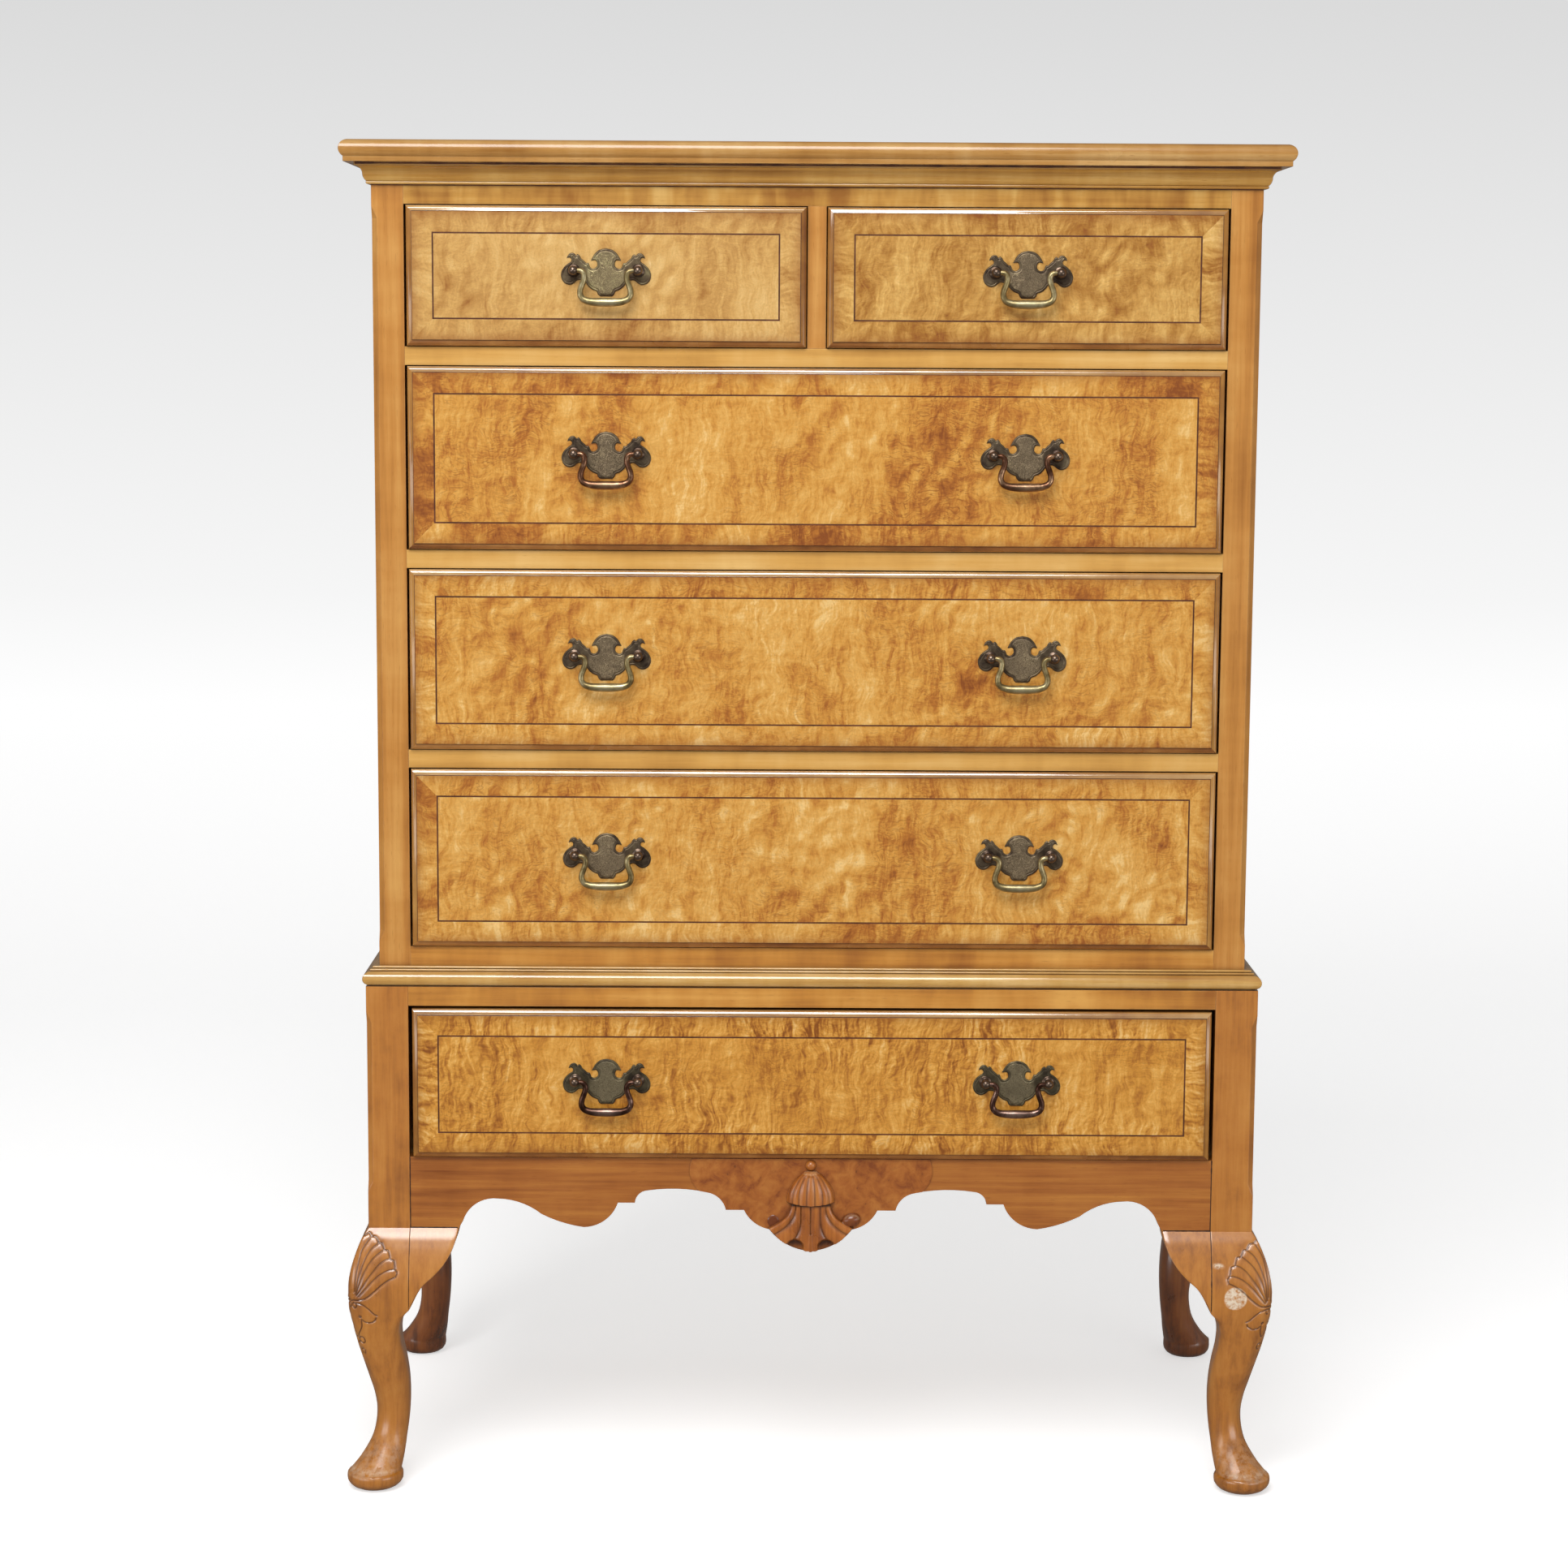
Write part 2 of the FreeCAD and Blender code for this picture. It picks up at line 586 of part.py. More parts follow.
def tassel():
    """Carved drop on the apron: ball, cap and a skirt that flares to the pendant's edge."""
    whole = tassel_part(TASSEL_CAP).fuse(tassel_part(TASSEL_SKIRT))
    edge = TASSEL_EDGE
    notch_x, notch_z = up(NOTCH)
    bow_x, bow_z = up(PENDANT_BOW)
    half = [(0.0, LEG_HEIGHT + PENDANT_DROP + edge),
            ((bow_x - edge, bow_z + edge), (notch_x - edge, notch_z + edge)),
            (notch_x - edge, apron_top), (0.0, apron_top)]
    keep = closed_face(mirrored(half), in_xz(stand_front)).extrude(V(0, -POST, 0))
    return one_solid(whole.common(keep))


def side_apron():
    """Side board of the stand, tenoned between two posts, with the front's end curves."""
    rise = (inner_y - END_RISE[0], LEG_HEIGHT + END_RISE[1])
    low = (0.0, LEG_HEIGHT + BELLY_LOW[1])
    turn = (rise[0] / 2, (low[1] + rise[1]) / 2 - RISE_SAG)
    half = [low, (turn, rise)] + apron_end(inner_y) + [(inner_y, stand_top), (0.0, stand_top)]
    face = closed_face(mirrored(half), in_yz(STAND_WIDTH / 2 - STAND_SIDE_THICK))
    return one_solid(face.extrude(V(STAND_SIDE_THICK, 0, 0)))


def build_stand():
    rear = leg(False)
    front = leg(True)
    save("rear_leg_right", rear)
    save("rear_leg_left", mirror_x(rear))
    save("front_leg_right", front)
    save("front_leg_left", mirror_x(front))
    front_blocks, side_blocks = knee_blocks()
    save("knee_blocks_front", *front_blocks)
    save("knee_blocks_side", *side_blocks)
    save("apron", front_apron())
    save("apron_burl_panel", burl_panel())
    save("apron_tassel", tassel())
    side = side_apron()
    save("stand_side_right", side)
    save("stand_side_left", mirror_x(side))
    save("stand_back_board", box((-inner_x, inner_x), (back_y - STAND_BACK_THICK, back_y),
                                 (stand_top - STAND_BACK_DROP, stand_top)))
    save("stand_top_rail", box((-inner_x, inner_x), (stand_front, stand_front + RAIL_DEPTH),
                               (stand_rail_z, stand_top)))
    runner = box((inner_x - STAND_RUNNER_WIDTH, inner_x),
                 (stand_front + APRON_THICK, back_y - STAND_BACK_THICK),
                 (apron_top - STAND_RUNNER_HEIGHT, apron_top))
    guide_x = inner_x - LOW_GAP_SIDE - BOX_INSET + GUIDE_CLEAR
    guide = box((guide_x, STAND_WIDTH / 2 - STAND_SIDE_THICK), (-inner_y, inner_y),
                (apron_top, apron_top + GUIDE_HEIGHT))
    save("stand_runners", runner, mirror_x(runner), guide, mirror_x(guide))


# ------------------------------------------------------------------ the chest
def build_chest():
    high = (stand_top, chest_top)
    stile = box((opening_half, chest_half), (chest_front, chest_front + STILE_THICK), high)
    stile = one_solid(stile.cut(chamfer_cutter(chest_half, chest_front,
                                               stand_top + CHEST_CHAMFER_FROM_FOOT,
                                               chest_top - CHEST_CHAMFER_FROM_TOP)))
    save("chest_stile_right", stile)
    save("chest_stile_left", mirror_x(stile))
    side = box((side_in, chest_half), (chest_front + STILE_THICK, back_y), high)
    side = one_solid(side.cut(box((side_in, side_in + BACK_REBATE), (back_in, back_y), high)))
    save("chest_side_right", side)
    save("chest_side_left", mirror_x(side))

    face_depth = (chest_front, chest_front + STILE_THICK)
    width = (-opening_half, opening_half)
    save("chest_bottom_rail", box(width, face_depth, (stand_top, floor_z)))
    save("chest_top_rail", box(width, face_depth, (top_rail_z, chest_top)))
    save("drawer_rails", *[box(width, (chest_front, chest_front + RAIL_DEPTH), (top - RAIL_THICK, top))
                           for top in rail_tops[1:]])
    save("top_drawer_divider", box((-DIVIDER_WIDTH / 2, DIVIDER_WIDTH / 2), face_depth,
                                   (rail_tops[-1], top_rail_z)))
    save("chest_bottom_board", box((-side_in, side_in), (face_depth[1], back_in),
                                   (stand_top, stand_top + BOTTOM_BOARD_THICK)))
    board = (chest_top - stand_top) / BACK_BOARDS
    lap = side_in + BACK_REBATE
    save("chest_back_boards", *[box((-lap, lap), (back_in, back_y),
                                    (stand_top + index * board, stand_top + (index + 1) * board))
                                for index in range(BACK_BOARDS)])

    runners = []
    guides = []
    guide_x = opening_half - GAP_SIDE - BOX_INSET + GUIDE_CLEAR
    for level, top in enumerate(rail_tops):
        foot = top - RAIL_THICK if level else stand_top + BOTTOM_BOARD_THICK
        start = chest_front + (RAIL_DEPTH if level else STILE_THICK)
        runners.append(box((side_in - RUNNER_WIDTH, side_in), (start, back_in), (foot, top)))
        guides.append(box((guide_x, side_in), (start, back_in), (top, top + GUIDE_HEIGHT)))
    runners += [mirror_x(runner) for runner in runners]
    guides += [mirror_x(guide) for guide in guides]
    top = rail_tops[-1]
    middle_half = DIVIDER_WIDTH / 2 + GAP_DIVIDER + BOX_INSET - GUIDE_CLEAR
    runners.append(box((-RUNNER_WIDTH, RUNNER_WIDTH), (chest_front + RAIL_DEPTH, back_in),
                       (top - RAIL_THICK, top)))
    guides.append(box((-middle_half, middle_half), (chest_front + STILE_THICK, back_in),
                      (top, top + GUIDE_HEIGHT)))
    save("chest_runners", *runners)
    save("chest_guides", *guides)

    save("top_board", top_board())
    front, right, left = cornice()
    save("cornice_front", front)
    save("cornice_returns", left, right)
    front, right, left = waist_moulding()
    save("waist_moulding_front", front)
    save("waist_moulding_returns", left, right)


# ------------------------------------------------------------------ drawers
def moulded_front(x, face_y, z):
    """A drawer front: flat field standing proud, a quirk and an ovolo round all four edges."""
    proud = FRONT_PROUD
    band = EDGE_BAND
    fillet = proud - EDGE_QUIRK
    ovolo = band - 1.0
    rim = [(0.0, -FRONT_INSET), (0.0, EDGE_SQUARE),
           ((0.30 * ovolo, EDGE_SQUARE + 0.70 * (fillet - EDGE_SQUARE)), (ovolo, fillet)),
           (band, fillet), (band, proud)]

    def run(low, high, place):
        middle = (low + high) / 2
        half = [(0.0, -FRONT_INSET)]
        for step in rim:
            if isinstance(step[0], tuple):
                half.append(((high - middle - step[0][0], step[0][1]),
                             (high - middle - step[1][0], step[1][1])))
            else:
                half.append((high - middle - step[0], step[1]))
        half.append((0.0, proud))
        return closed_face(mirrored(half), lambda across, out: place(middle + across, face_y - out))

    upright = run(x[0], x[1], lambda across, y: V(across, y, z[0])).extrude(V(0, 0, z[1] - z[0]))
    level = run(z[0], z[1], lambda across, y: V(x[0], y, across)).extrude(V(x[1] - x[0], 0, 0))
    return upright.common(level)


def drawer_box(x, face_y, z, runner_z, case_back):
    """Two sides, a back and a bottom, behind a front of this width and height."""
    left = x[0] + BOX_INSET
    right = x[1] - BOX_INSET
    thick = BOX_SIDE_THICK
    front_y = face_y + FRONT_INSET
    rear_y = case_back - BOX_BACK_ROOM
    foot = runner_z + RUN_CLEAR
    top = z[1] - BOX_TOP_DOWN
    bottom = (foot + BOX_BOTTOM_UP, foot + BOX_BOTTOM_UP + BOX_BOTTOM_THICK)
    return [box((left, left + thick), (front_y, rear_y), (foot, top)),
            box((right - thick, right), (front_y, rear_y), (foot, top)),
            box((left + thick, right - thick), (front_y, rear_y), bottom),
            box((left + thick, right - thick), (rear_y - BOX_BACK_THICK, rear_y),
                (bottom[1], top - BOX_BACK_DOWN))]


def shank_hole(x, y, z, length):
    """Cutter for a post's square shank, running back from y."""
    half = SHANK_SQUARE / 2 + SHANK_CLEAR
    return box((x - half, x + half), (y, y + length), (z - half, z + half))


def handle_plate(x, y, z):
    """Backplate with a domed head, two side wings with curled tips and a stepped foot."""
    face = closed_face(mirrored(PLATE_OUTLINE), lambda across, high: V(x + across, y, z + high),
                       PLATE_CHORDS)
    plate = face.extrude(V(0, -PLATE_THICK, 0))
    for side in (-1, 1):
        post_at = x + side * HANDLE_BORE / 2
        plate = plate.cut(shank_hole(post_at, y - PLATE_THICK, z, PLATE_THICK))
    return one_solid(plate)


def handle_post(x, y, z, inward):
    """Ball-headed post on a flange, square in its shank, bored for the bail's pin."""
    plate_y = y - PLATE_THICK
    stages = ((0.0, FLANGE_RADIUS), (FLANGE_THICK, FLANGE_RADIUS),
              (2 * FLANGE_THICK, NECK_RADIUS), (NECK_LENGTH, NECK_RADIUS),
              (BALL_STAND_OFF - BALL_FACE, BALL_RADIUS), (BALL_STAND_OFF + BALL_FACE, BALL_RADIUS),
              (BALL_STAND_OFF + BALL_RADIUS, BALL_TIP_RADIUS))
    head = flatted_solid([flatted_ring(V(x, plate_y - out, z), V(0, 1, 0), radius)
                          for out, radius in stages])
    tail = y + FRONT_PROUD + FRONT_INSET + NUT_THICK + SHANK_TAIL
    half = SHANK_SQUARE / 2
    shank = box((x - half, x + half), (plate_y, tail), (z - half, z + half))
    bore = Part.makeCylinder(PIN_RADIUS + PIN_CLEAR, BALL_RADIUS + PIN_DEPTH + PIN_END_ROOM,
                             V(x + inward * BALL_RADIUS, plate_y - BALL_STAND_OFF, z),
                             V(-inward, 0, 0))
    return one_solid(head.fuse(shank).cut(bore))


def handle_nut(x, y, z):
    half = NUT_SQUARE / 2
    nut = box((x - half, x + half), (y, y + NUT_THICK), (z - half, z + half))
    return nut.cut(shank_hole(x, y, z, NUT_THICK))


def bail():
    """Swinging handle about its pins' axis, which is the x axis here; it hangs down."""
    tilt = math.atan2(BAIL_ARM_FLARE, BAIL_ARM_DROP)
    down = V(math.sin(tilt), 0, -math.cos(tilt))
    neck = V(BAIL_NECK_HALF, 0, 0)
    arm_end = neck + down * (BAIL_ARM_DROP / math.cos(tilt))
    hub = arm_end - V(math.cos(tilt), 0, math.sin(tilt)) * BAIL_CORNER
    rings = [flatted_ring(neck - down * BAIL_RADIUS, down, BAIL_RADIUS)]
    for step in range(BAIL_CORNER_STEPS + 1):
        turned = tilt - (math.pi / 2 + tilt) * step / BAIL_CORNER_STEPS
        outward = V(math.cos(turned), 0, math.sin(turned))
        along = V(math.sin(turned), 0, -math.cos(turned))
        rings.append(flatted_ring(hub + outward * BAIL_CORNER, along, BAIL_RADIUS))
    rings.append(flatted_ring(hub + V(-hub.x, 0, -BAIL_CORNER), V(-1, 0, 0), BAIL_GRIP_RADIUS))
    half = flatted_solid(rings)
    pin = Part.makeCylinder(PIN_RADIUS, HANDLE_BORE / 2 + PIN_DEPTH - BAIL_NECK_HALF, neck, V(1, 0, 0))
    return one_solid(half.fuse([pin, mirror_x(half), mirror_x(pin)]))


def build_drawer(name, x, face_y, z, runner_z, case_back, handle_xs, bail_shape):
    """One drawer: its front, its box, its fixed brass and its bails."""
    front = moulded_front(x, face_y, z)
    field_y = face_y - FRONT_PROUD
    handle_z = (z[0] + z[1]) / 2 + HANDLE_LIFT
    back_of_front = face_y + FRONT_INSET
    brass = []
    for index, handle_x in enumerate(handle_xs):
        brass.append(handle_plate(handle_x, field_y, handle_z))
        for side in (-1, 1):
            post_at = handle_x + side * HANDLE_BORE / 2
            front = front.cut(shank_hole(post_at, field_y, handle_z, FRONT_PROUD + FRONT_INSET))
            brass.append(handle_post(post_at, field_y, handle_z, -side))
            brass.append(handle_nut(post_at, back_of_front, handle_z))
        hung = bail_shape.copy()
        hung.translate(V(handle_x, field_y - PLATE_THICK - BALL_STAND_OFF, handle_z))
        side_name = "" if len(handle_xs) == 1 else ("_left", "_right")[index]
        save("%s_bail%s" % (name, side_name), hung)
    save("%s_front" % name, one_solid(front))
    save("%s_box" % name, *drawer_box(x, face_y, z, runner_z, case_back))
    save("%s_handle_mounts" % name, *brass)


def drawer_stops(x, face_y, runner_z):
    """Two small blocks on the rail that meet the back of a closed drawer's front."""
    near = face_y + FRONT_INSET + STOP_CLEAR
    quarter = (x[1] - x[0]) / 4
    return [box((centre - STOP_WIDTH / 2, centre + STOP_WIDTH / 2), (near, near + STOP_DEPTH),
                (runner_z, runner_z + STOP_HEIGHT))
            for centre in (x[0] + quarter, x[1] - quarter)]


def build_drawers():
    bail_shape = bail()
    stops = []
    wide = (-opening_half + GAP_SIDE, opening_half - GAP_SIDE)
    spread = HANDLE_SPREAD / 2
    middle = DIVIDER_WIDTH / 2 + GAP_DIVIDER
    long_names = ("lower_drawer", "middle_drawer", "upper_drawer")
    for name, runner_z in zip(long_names, rail_tops):
        z = (runner_z + GAP_BELOW, runner_z + GAP_BELOW + LONG_DRAWER_HEIGHT)
        build_drawer(name, wide, chest_front, z, runner_z, back_in, (-spread, spread), bail_shape)
        stops += drawer_stops(wide, chest_front, runner_z)
    top = rail_tops[-1]
    z = (top + GAP_BELOW, top + GAP_BELOW + TOP_DRAWER_HEIGHT)
    for name, x in (("top_left_drawer", (wide[0], -middle)), ("top_right_drawer", (middle, wide[1]))):
        centre = (x[0] + x[1]) / 2
        build_drawer(name, x, chest_front, z, top, back_in, (centre,), bail_shape)
        stops += drawer_stops(x, chest_front, top)
    low_wide = (-inner_x + LOW_GAP_SIDE, inner_x - LOW_GAP_SIDE)
    z = (low_front_z, low_front_z + LOW_DRAWER_HEIGHT)
    build_drawer("stand_drawer", low_wide, stand_front, z, apron_top, back_y - STAND_BACK_THICK,
                 (-spread, spread), bail_shape)
    stops += drawer_stops(low_wide, stand_front, apron_top)
    save("drawer_stops", *stops)


os.makedirs("parts", exist_ok=True)
build_stand()
build_chest()
build_drawers()
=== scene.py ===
"""Highboy in figured maple: a chest of five drawers on a cabriole-legged stand, dressed for a picture.

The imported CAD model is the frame. Each class below is one sub-assembly: it reads its place from
the CAD nodes that it dresses, builds its own meshes in millimetres and gives them their finishes.
"""

from __future__ import annotations

import logging
import math
from dataclasses import dataclass, field, replace
from enum import Enum, IntEnum
from functools import cached_property, lru_cache
from typing import Any, Callable, Iterable, Sequence

import bpy
import numpy as np
from mathutils import Matrix, Vector, geometry, noise

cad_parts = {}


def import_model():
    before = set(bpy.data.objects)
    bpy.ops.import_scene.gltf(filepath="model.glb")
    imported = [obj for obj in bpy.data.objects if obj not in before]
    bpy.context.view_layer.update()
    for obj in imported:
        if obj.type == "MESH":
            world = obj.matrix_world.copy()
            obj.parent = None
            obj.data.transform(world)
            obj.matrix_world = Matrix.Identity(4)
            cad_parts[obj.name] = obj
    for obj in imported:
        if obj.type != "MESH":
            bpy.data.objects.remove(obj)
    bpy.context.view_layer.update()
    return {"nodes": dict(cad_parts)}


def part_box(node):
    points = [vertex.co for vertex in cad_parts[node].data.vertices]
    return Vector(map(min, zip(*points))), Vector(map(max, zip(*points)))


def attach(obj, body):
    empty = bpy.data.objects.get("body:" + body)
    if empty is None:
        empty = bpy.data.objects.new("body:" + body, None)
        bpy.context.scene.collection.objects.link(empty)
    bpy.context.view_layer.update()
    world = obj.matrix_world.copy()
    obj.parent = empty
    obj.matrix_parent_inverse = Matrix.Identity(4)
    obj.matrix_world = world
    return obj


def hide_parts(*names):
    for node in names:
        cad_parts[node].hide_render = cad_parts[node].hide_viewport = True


LOG = logging.getLogger("highboy")
MM = 0.001

Point2 = tuple[float, float]
Point3 = tuple[float, float, float]
Knots = Sequence[Point2]
Socket = bpy.types.NodeSocket


# ---- colour and nodes
def linear(code: str) -> tuple[float, float, float, float]:
    """Turn an sRGB hex colour into the linear colour that shaders use.

    Args:
        code: Six hex digits, with or without a leading #.

    Returns:
        Linear red, green, blue and an alpha of 1.
    """
    digits = code.lstrip("#")
    channels = [int(digits[at:at + 2], 16) / 255 for at in (0, 2, 4)]
    red, green, blue = (c / 12.92 if c <= 0.04045 else ((c + 0.055) / 1.055) ** 2.4 for c in channels)
    return red, green, blue, 1.0


class Graph:
    """The node tree of one new material."""

    def __init__(self, name: str) -> None:
        """Start an empty tree.

        Args:
            name: Name of the material.
        """
        self.material = bpy.data.materials.new(name)
        self.material.use_nodes = True
        self.tree = self.material.node_tree
        self.tree.nodes.clear()

    def add(self, kind: str, inputs: dict[int | str, Any] | Sequence[Any] = (), out: int | str = 0,
            stops: Sequence[tuple[float, str]] = (), **settings: Any) -> Socket | None:
        """Add one node with its settings, constants and links.

        Args:
            kind: Blender's name of the node type, without its ShaderNode.
            inputs: A number, vector, hex colour or feeding output for each socket, by the socket's
                name or number or in the sockets' order.
            out: Name or number of the output to hand back.
            stops: A colour ramp's pairs of place and hex colour.
            **settings: Properties of the node itself.

        Returns:
            The output, or None for a node without one.
        """
        node = self.tree.nodes.new("ShaderNode" + kind)
        for name, value in settings.items():
            setattr(node, name, value)
        for key, value in inputs.items() if isinstance(inputs, dict) else enumerate(inputs):
            if isinstance(value, Socket):
                self.tree.links.new(value, node.inputs[key])
            else:
                node.inputs[key].default_value = linear(value) if isinstance(value, str) else value
        if stops:
            elements = node.color_ramp.elements
            while len(elements) < len(stops):
                elements.new(0.5)
            for element, (place, code) in zip(elements, stops):
                element.position = place
                element.color = linear(code)
        return node.outputs[out] if len(node.outputs) else None

    def close(self, shader: Socket) -> bpy.types.Material:
        """Feed the shader to the tree's end and hand the material back."""
        self.add("OutputMaterial", (shader,))
        return self.material


# ---- finishes
class Grain(Enum):
    """The direction in which a board's grain runs."""

    ACROSS = (0.0, 0.0, 0.0)
    DEEP = (0.0, 0.0, math.pi / 2)
    UP = (0.0, math.pi / 2, 0.0)


@dataclass(frozen=True)
class Finish:
    """How a surface really is. Each kind of finish lays its own nodes."""

    name: str

    def material(self) -> bpy.types.Material:
        """Build the material."""
        graph = Graph(self.name)
        return graph.close(graph.add("BsdfPrincipled", self.surface(graph)))

    def surface(self, graph: Graph) -> dict[str, Any]:
        """Lay the finish's nodes.

        Args:
            graph: The material's nodes.

        Returns:
            What the shader gets, by socket name.
        """
        raise NotImplementedError


def age_arrises_and_paint_shade(graph: Graph, colour: Socket, joint: str, worn: str, wear: float) -> Socket:
    """Lay dark wax along every arris and joint, rub broken stretches beside them pale, and paint shade into
    hollows and beside neighbouring parts.

    Args:
        graph: The material's nodes.
        colour: The colour so far.
        joint: Colour of the wax in the joints, and of the painted shade in hollows.
        worn: Colour of the rubbed stretches.
        wear: How far they are rubbed, 0..1.

    Returns:
        The colour with its aged arrises and its painted shade.
    """
    add = graph.add
    flat = add("NewGeometry", out="Normal")
    broken = add("TexNoise", {"Vector": add("TexCoord", out="Object"), "Scale": 1000 / 35, "Detail": 4.0})
    for radius, code, low, high, most in ((1.9, worn, 0.45, 0.62, wear), (0.5, joint, 0.25, 0.55, 0.8)):
        soft = add("Bevel", (radius * MM,), samples=4)
        same = add("VectorMath", (soft, flat), "Value", operation="DOT_PRODUCT")
        edge = add("MapRange", (same, 0.985, 0.86))
        stretch = add("MapRange", (broken, low, high, 0.0, most))
        amount = add("Math", (edge, stretch), operation="MULTIPLY")
        colour = add("Mix", {0: amount, 6: colour, 7: code}, 2, data_type="RGBA")
    # Painted shade: darker where a hollow or a neighbour within 10 mm blocks the light, in the joint colour.
    open_to_air = add("AmbientOcclusion", {"Distance": 10 * MM}, "AO", samples=6)
    painted_shade = add("MapRange", (open_to_air, 0.85, 0.25, 0.0, 0.5))
    return add("Mix", {0: painted_shade, 6: colour, 7: joint}, 2, data_type="RGBA")


@dataclass(frozen=True)
class VarnishedMaple(Finish):
    """Solid maple, planed and scraped, under rubbed amber varnish.

    Gives the eye a satin honey board: long faint streaks, slow curl across the grain, short dark flecks,
    wax-dark joints, pale worn arrises and painted shade in hollows and beside neighbouring parts.
    """

    grain: Grain
    dark: str
    middle: str
    light: str
    streak_width: float = 3.2
    curl: float = 0.3
    clouds: float = 0.4
    contrast: float = 1.0
    wear: float = 0.25
    worn: str = "#e2bd84"
    joint: str = "#4a2810"
    roughness: float = 0.30
    gloss: float = 0.5
    polish: float = 1.65
    seed: float = 0.0

    def surface(self, graph: Graph) -> dict[str, Any]:
        """Lay the nodes of the varnished board.

        Args:
            graph: The material's nodes.

        Returns:
            What the shader gets, by socket name.
        """
        add = graph.add
        turned = add("Mapping", {"Vector": add("TexCoord", out="Object"), "Rotation": self.grain.value,
                                 "Location": (self.seed, self.seed * 1.7, self.seed * 0.6)})
        # Streaks: thirty times longer than they are wide.
        long_way = add("Mapping", {"Vector": turned, "Scale": (0.03, 1.0, 1.0)})
        streaks = add("TexNoise", {"Vector": long_way, "Scale": 1000 / self.streak_width / 4, "Detail": 5.0,
                                   "Roughness": 0.62})
        clouds = add("TexNoise", {"Vector": turned, "Scale": 1000 / 110, "Detail": 4.0, "Roughness": 0.55})
        # Curl: soft bars across the grain, some 10 mm apart.
        cross_way = add("Mapping", {"Vector": turned, "Scale": (1.0, 0.22, 0.22)})
        curl = add("TexNoise", {"Vector": cross_way, "Scale": 1000 / 22, "Detail": 3.0, "Roughness": 0.5,
                                "Distortion": 0.3})
        mixed = add("Mix", {0: self.curl, 2: streaks, 3: curl})
        mixed = add("Mix", {0: self.clouds, 2: mixed, 3: clouds})
        spread = add("MapRange", (mixed, 0.5 - 0.13 / self.contrast, 0.5 + 0.13 / self.contrast))
        colour = add("ValToRGB", (spread,), stops=((0.0, self.dark), (0.5, self.middle), (1.0, self.light)))
        # Flecks: dark dashes 4 mm long by 0.4 mm, drawn a little wider than in nature so they show.
        dash_way = add("Mapping", {"Vector": turned, "Scale": (0.1, 1.0, 1.0)})
        dashes = add("TexNoise", {"Vector": dash_way, "Scale": 1000 / 1.1, "Detail": 1.0})
        flecks = add("MapRange", (dashes, 0.64, 0.80, 0.0, 0.45))
        colour = add("Mix", {0: flecks, 6: colour, 7: self.dark}, 2, data_type="RGBA")
        # Aged arrises, and painted shade in hollows and beside neighbouring parts.
        colour = age_arrises_and_paint_shade(graph, colour, self.joint, self.worn, self.wear)
        rough = add("MapRange", (clouds, 0.0, 1.0, self.roughness - 0.08, self.roughness + 0.10))
        soft = add("Bevel", (0.6 * MM,), samples=4)
        bump = add("Bump", {"Height": streaks, "Strength": 0.15, "Distance": 0.25 * MM, "Normal": soft})
        return {"Base Color": colour, "Roughness": rough, "IOR": 1.5, "Normal": bump,
                "Coat Weight": self.gloss, "Coat Roughness": 0.08, "Coat IOR": self.polish}


class Zone(Enum):
    """Where a layer of a veneer's figure shows, by the name of its strength."""

    BLISTERED = "quilt"
    CURLED = "curl"
    ALL_OVER = "fine"


@dataclass(frozen=True)
class Figure:
    """One layer of a veneer's figure, shown by its height and by painted light and shade on the slope of its
    shoulders.

    The width is in millimetres. The slope is read over a shift in metres; the painted light falls from there.
    """

    width: float
    stretch: Point3 | None
    shift: Point3
    slope: tuple[float, Zone]
    height: tuple[float, Zone]
    middle: float = 0.5
    detail: tuple[float, float] = (2.0, 0.55)
    cells: bool = False

    def read(self, graph: Graph, where: Socket) -> tuple[Socket, Socket]:
        """Read the layer's pattern.

        Args:
            graph: The material's nodes.
            where: Place on the veneer.

        Returns:
            The pattern, and how much it falls toward the shift.
        """
        kind, names, settings = "TexNoise", ("Detail", "Roughness"), {}
        if self.cells:
            kind, names, settings = "TexVoronoi", ("Smoothness", "Randomness"), {"feature": "SMOOTH_F1"}
        if self.stretch:
            where = graph.add("Mapping", {"Vector": where, "Scale": self.stretch})
        constants = {"Scale": 1000 / self.width, **dict(zip(names, self.detail))}
        here = graph.add(kind, {"Vector": where, **constants}, **settings)
        moved = graph.add("VectorMath", (where, self.shift), operation="ADD")
        there = graph.add(kind, {"Vector": moved, **constants}, **settings)
        return here, graph.add("Math", (here, there), operation="SUBTRACT")


# Each layer paints light and shade on the slopes of its figure, as if lit from the way of its shift.
FIGURES = (
    # Blisters: cells about 16 mm wide and 24 mm high, in painted light from the upper left.
    Figure(16.0, (1.0, 1.0, 0.66), (0.0015, 0.0, -0.0021), (-1.9, Zone.BLISTERED), (-0.45, Zone.BLISTERED),
           0.42, (0.55, 0.95), True),
    # Flames: upright bars some 7 mm apart and 40 mm long.
    Figure(15.0, (1.0, 1.0, 0.20), (0.0016, 0.0, -0.0004), (1.9, Zone.CURLED), (0.65, Zone.CURLED),
           detail=(3.0, 0.55)),
    # Ripples: small curls between the flames.
    Figure(8.5, None, (0.0007, 0.0, -0.0010), (0.8, Zone.CURLED), (0.3, Zone.BLISTERED), detail=(2.0, 0.5)),
    # Fibres: fine upright scratches of painted light, 2 to 3 mm apart.
    Figure(6.0, (1.0, 1.0, 0.3), (0.0008, 0.0, -0.0002), (0.8, Zone.ALL_OVER), (0.30, Zone.ALL_OVER)),
    # Weft: the same running level, so that the two cross in small pillows.
    Figure(9.0, (0.4, 1.0, 1.0), (0.0002, 0.0, -0.0010), (0.7, Zone.ALL_OVER), (0.30, Zone.ALL_OVER)),
)


